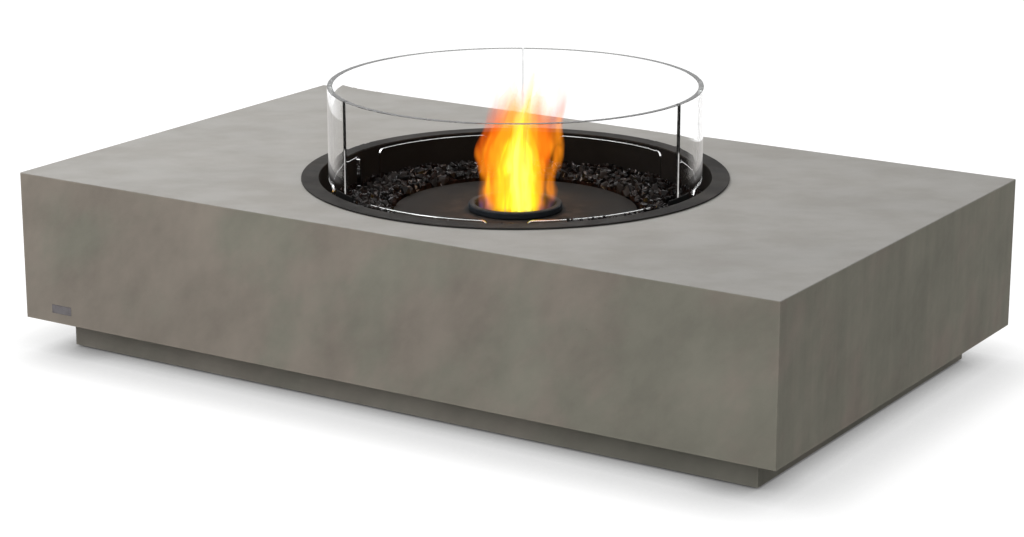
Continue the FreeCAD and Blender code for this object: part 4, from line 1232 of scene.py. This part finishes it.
@dataclass
class GlassScreen:
    """Three curved panels with feet and air gaps, their holders and soft strips."""

    outer: float = 0.277
    thickness: float = 0.008
    bottom: float = 0.2222
    top: float = 0.416
    gap_top: float = 0.278
    gap_corner: float = 0.009
    band: float = 0.002
    half_panel: float = 60.0
    seam_gap: float = 0.002
    end_foot: float = 12.0
    middle_foot: float = 11.5
    column_step: float = 1.5
    corner_steps: int = 7
    arris: float = 0.0006
    sharp_angle: float = 50.0
    smooth_angle: float = 18.0

    def build(self) -> None:
        """Make the panels and dress the holders and strips."""
        for name, direction in PANEL_DIRECTIONS.items():
            self.make_panel(name, direction)
        for side in ("right", "back", "left"):
            dress("glass_holder_" + side, SHADED_BLACK_STEEL)
        dress("glass_end_strips", CLEAR_RUBBER)
        dress("glass_middle_strips", CLEAR_RUBBER)

    def columns(self) -> list[tuple[float, float]]:
        """Give each upright column of a panel's mesh: its angle and where the glass begins there."""
        reach = math.degrees(self.gap_corner / self.outer)
        edge = self.half_panel - math.degrees(math.asin(self.seam_gap / 2 / self.outer))
        gap_start = self.middle_foot / 2
        gap_end = self.half_panel - self.end_foot
        foot_top = self.gap_top - self.gap_corner
        half = [(angle, foot_top) for angle in self.spread(0.0, gap_start, 4)]
        for step in range(self.corner_steps + 1):
            turn = math.pi / 2 * step / self.corner_steps
            half.append((gap_start + reach * (1 - math.cos(turn)),
                         foot_top + self.gap_corner * math.sin(turn)))
        inner_start = gap_start + reach
        inner_end = gap_end - reach
        count = round((inner_end - inner_start) / self.column_step)
        half += [(angle, self.gap_top) for angle in self.spread(inner_start, inner_end, count)[1:]]
        for step in range(self.corner_steps + 1):
            turn = math.pi / 2 * (1 - step / self.corner_steps)
            half.append((gap_end - reach * (1 - math.cos(turn)),
                         foot_top + self.gap_corner * math.sin(turn)))
        half += [(angle, foot_top) for angle in self.spread(gap_end, edge, 8)[1:]] + [(edge, foot_top)]
        tidy = [half[0]]
        for angle, start in half[1:]:
            if angle - tidy[-1][0] > 1e-4:
                tidy.append((angle, start))
        mirrored = [(-angle, start) for angle, start in reversed(tidy[1:])]
        return mirrored + tidy

    def spread(self, start: float, stop: float, count: int) -> list[float]:
        """Give even steps from one angle to just before another."""
        return [start + (stop - start) * index / count for index in range(count)]

    def is_foot(self, first: float, second: float) -> bool:
        """Tell whether the glass between two columns stands on the shelf."""
        middle = abs(first + second) / 2
        return middle < self.middle_foot / 2 or middle > self.half_panel - self.end_foot

    def make_panel(self, name: str, direction: float) -> None:
        """Make one panel as a curved slab with arrised edges."""
        work = bmesh.new()
        columns = self.columns()
        levels = (0.0, 0.25, 0.5, 0.75, 1.0)

        def column(angle: float, start: float) -> list[bmesh.types.BMVert]:
            """Make one column's points, the foot's bottom first."""
            turn = math.radians(direction + angle)
            heights = [self.bottom, start]
            for level in levels:
                heights.append(self.gap_top + self.band + (self.top - self.gap_top - self.band) * level)
            return [work.verts.new((self.outer * math.cos(turn), self.outer * math.sin(turn), height))
                    for height in heights]
        made = [column(angle, start) for angle, start in columns]
        for (left, right), (first, second) in zip(zip(columns, columns[1:]), zip(made, made[1:])):
            first_level = 0 if self.is_foot(left[0], right[0]) else 1
            for level in range(first_level, len(first) - 1):
                work.faces.new([first[level], second[level], second[level + 1], first[level + 1]])
        loose = [vert for vert in work.verts if not vert.link_faces]
        bmesh.ops.delete(work, geom=loose, context="VERTS")
        self.thicken(work)
        self.soften(work, direction)
        pane = new_piece("glass_%s_pane" % name, work, GLASS, "glass_" + name, ["glass_" + name])
        # The upright ends take the painted reflection.
        pane.data.materials.append(GLASS_END_PAINTED_REFLECTION.material())

    def thicken(self, work: bmesh.types.BMesh) -> None:
        """Give the curved sheet its thickness, towards the axis."""
        outside = list(work.faces)
        made = bmesh.ops.extrude_face_region(work, geom=outside)
        share = 1 - self.thickness / self.outer
        for vert in (item for item in made["geom"] if isinstance(item, bmesh.types.BMVert)):
            vert.co.x *= share
            vert.co.y *= share
        bmesh.ops.recalc_face_normals(work, faces=work.faces)

    def soften(self, work: bmesh.types.BMesh, direction: float) -> None:
        """Bevel the sharp edges, and mark the ground faces, the arrises, the outside and the ends."""
        ahead = Vector((math.cos(math.radians(direction)), math.sin(math.radians(direction)), 0.0))
        end_turn = math.radians(self.half_panel - 0.3)
        sharp = [edge for edge in work.edges
                 if edge.is_manifold and edge.calc_face_angle() > math.radians(self.sharp_angle)]
        bmesh.ops.bevel(work, geom=sharp, offset=self.arris, segments=2, affect="EDGES", profile=0.5,
                        clamp_overlap=True)
        for edge in work.edges:
            edge.smooth = edge.is_manifold and edge.calc_face_angle() < math.radians(self.smooth_angle)
        ground = work.faces.layers.float.new("ground")
        arris = work.faces.layers.float.new("arris")
        outer = work.faces.layers.float.new("outer")
        work.normal_update()
        for face in work.faces:
            middle = face.calc_center_median()
            outward = Vector((middle.x, middle.y, 0.0)).normalized()
            across = abs(face.normal.dot(outward))
            level = abs(face.normal.z) > 0.8
            face[ground] = 1.0 if level else 0.0
            face[arris] = 1.0 if 0.15 < across < 0.97 and not level else 0.0
            face[outer] = 1.0 if face.normal.dot(outward) > 0.97 else 0.0
            if across < 0.15 and not level and outward.angle(ahead) > end_turn:
                face.material_index = 1


# The stones

@dataclass
class StoneBed:
    """Angular black chips on a rough bed, heaped against the back and sides of the screen."""

    inner: float = 0.1858
    outer: float = 0.2625
    arc_step: float = 2.5
    across_steps: int = 8
    edge_height: float = 0.006
    bedding: float = 0.0002
    heap_front: float = 0.004
    heap_back: float = 0.02
    spacing: float = 0.0102
    small: float = 0.0058
    large: float = 0.0118
    chip_kinds: int = 6
    chip_points: int = 13
    # The share of facets that get the painted glints.
    painted_glint_share: float = 0.06
    seed: int = 11
    half_arc: float = 60.0
    prefix: str = "stones_"
    least_lean: float = 0.5

    def build(self) -> None:
        """Make the chips once, and scatter them over each of the three beds."""
        chips = self.make_chips()
        for number, (name, direction) in enumerate(PANEL_DIRECTIONS.items()):
            bed = self.make_bed(name, direction)
            title = self.prefix + name
            mesh = self.scatter_tree(title, chips, self.seed + number).run(title + "_chips", bed)
            place_piece(title + "_chips", mesh, STONE, TABLE, [title] if title in frame["nodes"] else [])
        for chip in list(chips.objects):
            bpy.data.objects.remove(chip)
        bpy.data.collections.remove(chips)

    def make_chips(self) -> bpy.types.Collection:
        """Make a few kinds of chip, each the hull of some random points."""
        chips = bpy.data.collections.new("chips")
        dice = random.Random(self.seed)
        for kind in range(self.chip_kinds):
            work = bmesh.new()
            for _ in range(self.chip_points):
                spot = Vector((dice.gauss(0, 1), dice.gauss(0, 1), dice.gauss(0, 1))).normalized()
                spot *= dice.uniform(0.8, 1.1)
                work.verts.new((spot.x, spot.y * 0.85, spot.z * 0.66))
            hull = bmesh.ops.convex_hull(work, input=list(work.verts))
            spare = list({*hull["geom_interior"], *hull["geom_unused"]})
            bmesh.ops.delete(work, geom=spare, context="VERTS")
            bmesh.ops.recalc_face_normals(work, faces=work.faces)
            # Mark a few facets of each chip for the stones' painted glints.
            facet = work.faces.layers.float.new("facet")
            for face in work.faces:
                face[facet] = 1.0 if dice.random() < self.painted_glint_share else 0.0
            mesh = bpy.data.meshes.new("chip_%d" % kind)
            work.to_mesh(mesh)
            work.free()
            chips.objects.link(bpy.data.objects.new("chip_%d" % kind, mesh))
        return chips

    def height_at(self, angle: float, share: float) -> float:
        """Give the bed's height over the shelf at an angle and a share of the way out.

        Args:
            angle: The direction of the spot, in degrees.
            share: How far out it lies, from 0 at the burner to 1 at the glass.

        Returns:
            The height in metres.
        """
        facing = 0.5 + 0.5 * math.cos(math.radians(angle - PANEL_DIRECTIONS["front"]))
        crest = self.heap_back + (self.heap_front - self.heap_back) * facing ** 3
        bulge = math.sin(math.pi * min(1.0, 0.15 + share * 0.75))
        wave = (0.0022 * math.sin(math.radians(angle * 7))
                + 0.0016 * math.sin(math.radians(angle * 13 + 50)))
        return self.edge_height + (crest - self.edge_height) * bulge + wave * bulge

    def make_bed(self, name: str, direction: float) -> bpy.types.Mesh:
        """Make the rough surface that the chips of one bed lie on, closed underneath."""
        work = bmesh.new()
        floor = high("stone_shelf").z
        count = round(2 * self.half_arc / self.arc_step)
        rows = []
        for index in range(count + 1):
            angle = direction - self.half_arc + index * 2 * self.half_arc / count
            turn = math.radians(angle)
            row = []
            for step in range(self.across_steps + 1):
                share = step / self.across_steps
                radius = self.inner + (self.outer - self.inner) * share
                height = floor + self.height_at(angle, share)
                row.append(work.verts.new((radius * math.cos(turn), radius * math.sin(turn), height)))
            for radius in (self.outer, self.inner):
                row.append(work.verts.new((radius * math.cos(turn), radius * math.sin(turn),
                                           floor + self.bedding)))
            rows.append(row)
        for row, following in zip(rows, rows[1:]):
            for step in range(len(row)):
                beside = (step + 1) % len(row)
                work.faces.new([row[step], row[beside], following[beside], following[step]])
        work.faces.new(rows[0])
        work.faces.new(list(reversed(rows[-1])))
        bmesh.ops.recalc_face_normals(work, faces=work.faces)
        mesh = bpy.data.meshes.new("bed_" + name)
        work.to_mesh(mesh)
        work.free()
        return mesh

    def scatter_tree(self, name: str, chips: bpy.types.Collection, seed: int) -> GeometryGraph:
        """Build the tree that strews chips over the upper side of a bed."""
        graph = GeometryGraph(name)
        bed = graph.entry.outputs["Geometry"]
        upward = graph.node("GeometryNodeInputNormal")
        lean = graph.node("ShaderNodeSeparateXYZ", {0: upward})
        faces_up = graph.math("GREATER_THAN", lean.outputs["Z"], self.least_lean)
        dots = graph.node("GeometryNodeDistributePointsOnFaces",
                          {"Mesh": bed, "Selection": faces_up,
                           "Distance Min": graph.size("Spacing", self.spacing),
                           "Density Max": graph.size("Chips to the square metre", 60000.0),
                           "Seed": graph.size("Seed", seed, "NodeSocketInt")},
                          distribute_method="POISSON")
        kinds = graph.node("GeometryNodeCollectionInfo", {0: chips, 1: True, 2: True})
        turn = graph.node("FunctionNodeRandomValue", {"Seed": seed + 1}, data_type="FLOAT_VECTOR")
        turn.inputs["Max"].default_value = (6.283, 6.283, 6.283)
        scale = graph.node("FunctionNodeRandomValue", {"Seed": seed + 2}, data_type="FLOAT")
        graph.put(self.float_input(scale, "Min"), graph.size("Smallest chip", self.small))
        graph.put(self.float_input(scale, "Max"), graph.size("Largest chip", self.large))
        strewn = graph.node("GeometryNodeInstanceOnPoints",
                            {"Points": dots.outputs["Points"], "Instance": kinds, "Pick Instance": True,
                             "Rotation": turn.outputs[0], "Scale": self.float_output(scale)})
        tone = graph.node("FunctionNodeRandomValue", {"Seed": seed + 3}, data_type="FLOAT")
        named = graph.node("GeometryNodeStoreNamedAttribute", {"Geometry": strewn, "Name": "tone"},
                           data_type="FLOAT", domain="INSTANCE")
        graph.put(self.float_input(named, "Value"), self.float_output(tone))
        joined = graph.node("GeometryNodeJoinGeometry")
        graph.put(joined.inputs[0], bed)
        graph.put(joined.inputs[0], named.outputs[0])
        graph.close(joined, graph.size("Stone", STONE.material(), "NodeSocketMaterial"))
        return graph

    @staticmethod
    def float_input(node: bpy.types.Node, name: str) -> bpy.types.NodeSocket:
        """Find a node's plain number input among those that share its name."""
        return next(item for item in node.inputs
                    if item.name == name and item.type == "VALUE" and item.enabled)

    @staticmethod
    def float_output(node: bpy.types.Node) -> bpy.types.NodeSocket:
        """Find a node's plain number output."""
        return next(item for item in node.outputs if item.type == "VALUE" and item.enabled)


@dataclass
class SlotStones(StoneBed):
    """Smaller chips in the slot between glass and well wall, heaped highest at the front right.

    The crests give the heap's height over the shelf at a few directions in degrees.
    """

    inner: float = 0.2826
    outer: float = 0.2858
    across_steps: int = 2
    spacing: float = 0.0058
    small: float = 0.0032
    large: float = 0.0052
    seed: int = 31
    half_arc: float = 53.0
    prefix: str = "slot_stones_"
    least_lean: float = -0.5
    crests: tuple[Point, ...] = (
        (0.0, 0.03), (60.0, 0.014), (200.0, 0.014), (240.0, 0.057), (262.0, 0.0585),
        (280.0, 0.055), (305.0, 0.0555), (316.0, 0.0588), (350.0, 0.0595), (360.0, 0.03))

    def height_at(self, angle: float, share: float) -> float:
        """Give the heap's height over the shelf at an angle, between the crests beside it."""
        angle %= 360.0
        wave = 0.0016 * math.sin(math.radians(angle * 17)) + 0.0012 * math.sin(math.radians(angle * 41))
        for (first, low_crest), (second, high_crest) in zip(self.crests, self.crests[1:]):
            if first <= angle <= second:
                return low_crest + (high_crest - low_crest) * (angle - first) / (second - first) + wave
        return self.edge_height


# The flame

@dataclass(frozen=True)
class Sheet:
    """One upright sheet of flame through the burner's axis.

    Its tongues are given by where they stand across it, from -1 to 1, by how high they rise
    above its shoulders, and by how wide they are. Its hotness is 1 where it burns brightest.
    """

    turn: float
    left: float
    right: float
    shoulders: float
    tongues: tuple[Triple, ...]
    hotness: float


@dataclass
class Flame:
    """Soft crossing sheets of light that stand in the collar's mouth."""

    foot: float = 0.219
    neck: float = 0.0585
    ceiling: float = 0.434
    across_steps: int = 40
    rise_steps: int = 30
    light_power: float = 1.3
    light_colour: Colour = (1.0, 0.42, 0.14)
    light_height: float = 0.31
    light_radius: float = 0.03
    ripple: float = 0.045
    ripple_pitch: float = 0.08
    bulge_height: float = 0.095
    lean_from: float = 0.08
    lean: float = 0.013
    lean_turn: float = 32.6
    sheets: tuple[Sheet, ...] = (
        Sheet(32.6, 0.060, 0.0705, 0.178,
              ((-0.7, 0.024, 0.26), (-0.02, 0.06, 0.16), (0.92, 0.032, 0.2)), 1.0),
        Sheet(68.6, 0.058, 0.066, 0.172, ((-0.35, 0.04, 0.2), (0.5, 0.02, 0.2)), 0.94),
        Sheet(104.6, 0.062, 0.062, 0.16, ((0.3, 0.05, 0.2), (-0.7, 0.02, 0.15)), 0.9),
        Sheet(140.6, 0.062, 0.062, 0.165, ((-0.1, 0.05, 0.18), (0.75, 0.025, 0.15)), 0.9),
        Sheet(176.6, 0.066, 0.058, 0.168, ((0.5, 0.03, 0.22), (-0.4, 0.03, 0.2)), 0.94),
    )

    def build(self) -> None:
        """Make all the sheets as one piece that rides on the burner."""
        work = bmesh.new()
        layers = [work.verts.layers.float.new(name) for name in ("across", "rise", "hotness")]
        for number, sheet in enumerate(self.sheets):
            self.add_sheet(work, sheet, number, layers)
        new_piece("flame_sheets", work, FLAME, BURNER)
        self.light_up()

    def light_up(self) -> None:
        """Hang a small warm light inside the flame, unseen itself."""
        light = bpy.data.lights.new("flame_light", "POINT")
        light.energy = self.light_power
        light.color = self.light_colour
        light.shadow_soft_size = self.light_radius
        lamp = bpy.data.objects.new("flame_light", light)
        lamp.location = (0.0, 0.0, self.light_height)
        lamp.visible_camera = False
        lamp.visible_glossy = False
        lamp.visible_transmission = False
        bpy.context.scene.collection.objects.link(lamp)

    def add_sheet(self, work: bmesh.types.BMesh, sheet: Sheet, number: int,
                  layers: Sequence[object]) -> None:
        """Add one sheet as a grid that follows the flame's outline."""
        turn = math.radians(sheet.turn)
        along = Vector((math.cos(turn), math.sin(turn), 0.0))
        out = Vector((-along.y, along.x, 0.0))
        grid = []
        for row in range(self.rise_steps + 1):
            rise = row / self.rise_steps
            line = []
            for column in range(self.across_steps + 1):
                across = 2 * column / self.across_steps - 1
                height = min(self.top_of(sheet, across), self.ceiling - self.foot) * rise
                belly = sheet.left if across < 0 else sheet.right
                reach = self.width_at(belly, height)
                wave = 0.005 * math.sin(across * 5 + number * 2) * math.sin(rise * 6 + number)
                sideways = out * wave * min(1.0, height / 0.05)
                spot = along * (across * reach) + sideways + self.leaning(height)
                vert = work.verts.new(spot + Vector((0, 0, self.foot + height)))
                for layer, value in zip(layers, (across, rise, sheet.hotness)):
                    vert[layer] = value
                line.append(vert)
            grid.append(line)
        for line, following in zip(grid, grid[1:]):
            for column in range(self.across_steps):
                work.faces.new([line[column], line[column + 1], following[column + 1], following[column]])

    def leaning(self, height: float) -> Vector:
        """Give how far the flame has drifted sideways at a height over its foot."""
        turn = math.radians(self.lean_turn)
        drift = self.lean * (max(0.0, height - self.lean_from) / 0.085) ** 1.4
        return Vector((math.cos(turn), math.sin(turn), 0.0)) * drift

    def top_of(self, sheet: Sheet, across: float) -> float:
        """Give a sheet's height over its foot at one place across it."""
        tall = sheet.shoulders
        for place, rise, spread in sheet.tongues:
            tall += rise * math.exp(-((across - place) / spread) ** 2)
        return tall

    def width_at(self, belly: float, height: float) -> float:
        """Give half a sheet's width at a height: held in by the mouth, widest a hand above it."""
        swell = math.sin(min(1.0, height / 0.09) * math.pi / 2)
        narrow = 1 - 0.15 * max(0.0, (height - 0.1) / 0.1)
        wobble = self.ripple * math.cos(2 * math.pi * (height - self.bulge_height) / self.ripple_pitch)
        return (self.neck + (belly - self.neck) * swell) * narrow * (1 + wobble * min(1.0, height / 0.05))


# The setting

@dataclass(frozen=True)
class Lamp:
    """A square soft lamp: where it hangs, what it points at, its width and its power."""

    name: str
    place: Triple
    target: Triple
    width: float
    power: float


@dataclass
class Studio:
    """A pale floor, soft light and the camera."""

    camera_place: Triple = (2.06757, -3.24550, 1.21140)
    camera_pitch: float = 74.346
    camera_turn: float = 32.574
    lens: float = 93.641
    floor_half: float = 12.0
    ambient: float = 0.25
    floor_bounce: float = 0.22
    floor_shade: float = 0.21
    floor_glow: float = 0.95
    contact_reach: float = 0.13
    overhead_strength: float = 0.9
    overhead_spread: float = 70.0
    lamps: tuple[Lamp, ...] = (
        Lamp("upper_left", (-1.5, 0.1, 2.1), (-0.1, 0.0, 0.25), 1.4, 22.0),
        Lamp("front_left", (-1.7, -2.3, 1.6), (-0.1, -0.3, 0.2), 1.5, 12.0),
        Lamp("front_right", (0.35, -3.0, 1.4), (0.1, -0.3, 0.2), 1.6, 11.0),
        Lamp("back_right", (1.6, 2.2, 0.8), (0.635, 0.3, 0.15), 1.0, 5.0),
    )

    def build(self) -> None:
        """Set the scene up."""
        self.make_floor()
        self.make_world()
        self.make_lights()
        self.make_camera()
        bpy.context.scene.view_settings.view_transform = "Standard"

    def make_floor(self) -> None:
        """Lay a floor that looks white, keeps the shadows and throws back little light."""
        work = bmesh.new()
        half = self.floor_half
        corners = [work.verts.new((x, y, 0.0)) for x, y in ((-half, -half), (half, -half), (half, half),
                                                            (-half, half))]
        work.faces.new(corners)
        mesh = bpy.data.meshes.new("floor")
        work.to_mesh(mesh)
        work.free()
        graph = ShaderGraph("floor")
        bounce = graph.node("ShaderNodeBsdfDiffuse", {"Color": opaque((self.floor_bounce,) * 3)})
        shaded = graph.node("ShaderNodeBsdfDiffuse", {"Color": opaque((self.floor_shade,) * 3)})
        near = graph.node("ShaderNodeAmbientOcclusion", {"Distance": self.contact_reach}, samples=16)
        glow = graph.math("MULTIPLY", near.outputs["AO"], self.floor_glow)
        lit = graph.node("ShaderNodeEmission", {"Color": opaque((1.0, 1.0, 1.0)), "Strength": glow})
        pale = graph.node("ShaderNodeAddShader", {0: shaded, 1: lit})
        mixed = graph.node("ShaderNodeMixShader", {0: graph.seen(), 1: bounce, 2: pale})
        mesh.materials.append(graph.finish(mixed))
        floor = bpy.data.objects.new("floor", mesh)
        bpy.context.scene.collection.objects.link(floor)

    def make_world(self) -> None:
        """Make a white background that lights the object only softly."""
        world = bpy.data.worlds.new("studio")
        bpy.context.scene.world = world
        world.use_nodes = True
        graph = NodeGraph(world.node_tree)
        strength = graph.math("MAXIMUM", graph.seen(), self.ambient)
        background = graph.node("ShaderNodeBackground",
                                {"Color": opaque((1.0, 1.0, 1.0)), "Strength": strength})
        graph.node("ShaderNodeOutputWorld", {"Surface": background})

    def make_lights(self) -> None:
        """Hang one broad light overhead and the softer lamps round it."""
        light = bpy.data.lights.new("overhead", "SUN")
        light.energy = self.overhead_strength
        light.angle = math.radians(self.overhead_spread)
        self.hang(light, Vector((0.0, 0.0, 3.0)), Vector((0.0, 0.0, 0.0)))
        for lamp in self.lamps:
            light = bpy.data.lights.new(lamp.name, "AREA")
            light.energy = lamp.power
            light.size = lamp.width
            self.hang(light, Vector(lamp.place), Vector(lamp.target))

    def hang(self, light: bpy.types.Light, place: Vector, target: Vector) -> None:
        """Put a light in a place and point it at a target."""
        lamp = bpy.data.objects.new(light.name, light)
        lamp.location = place
        lamp.rotation_euler = (target - place).to_track_quat("-Z", "Y").to_euler()
        bpy.context.scene.collection.objects.link(lamp)

    def make_camera(self) -> None:
        """Stand the camera where the photograph was taken from."""
        lens = bpy.data.cameras.new("camera")
        lens.lens = self.lens
        lens.sensor_width = 36.0
        camera = bpy.data.objects.new("camera", lens)
        camera.location = self.camera_place
        camera.rotation_euler = (math.radians(self.camera_pitch), 0.0, math.radians(self.camera_turn))
        bpy.context.scene.collection.objects.link(camera)
        bpy.context.scene.camera = camera


def main() -> None:
    """Build every part of the scene in order."""
    logging.basicConfig(level=logging.INFO, format="%(message)s")
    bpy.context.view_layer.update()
    Studio().build()
    ConcreteBlock().build()
    BaseFrame().build()
    for corner in CORNERS:
        LevellingFoot(corner).build()
    FireWell().build()
    Burner().build()
    GlassScreen().build()
    StoneBed().build()
    SlotStones().build()
    Flame().build()


if __name__ == "__main__":
    main()
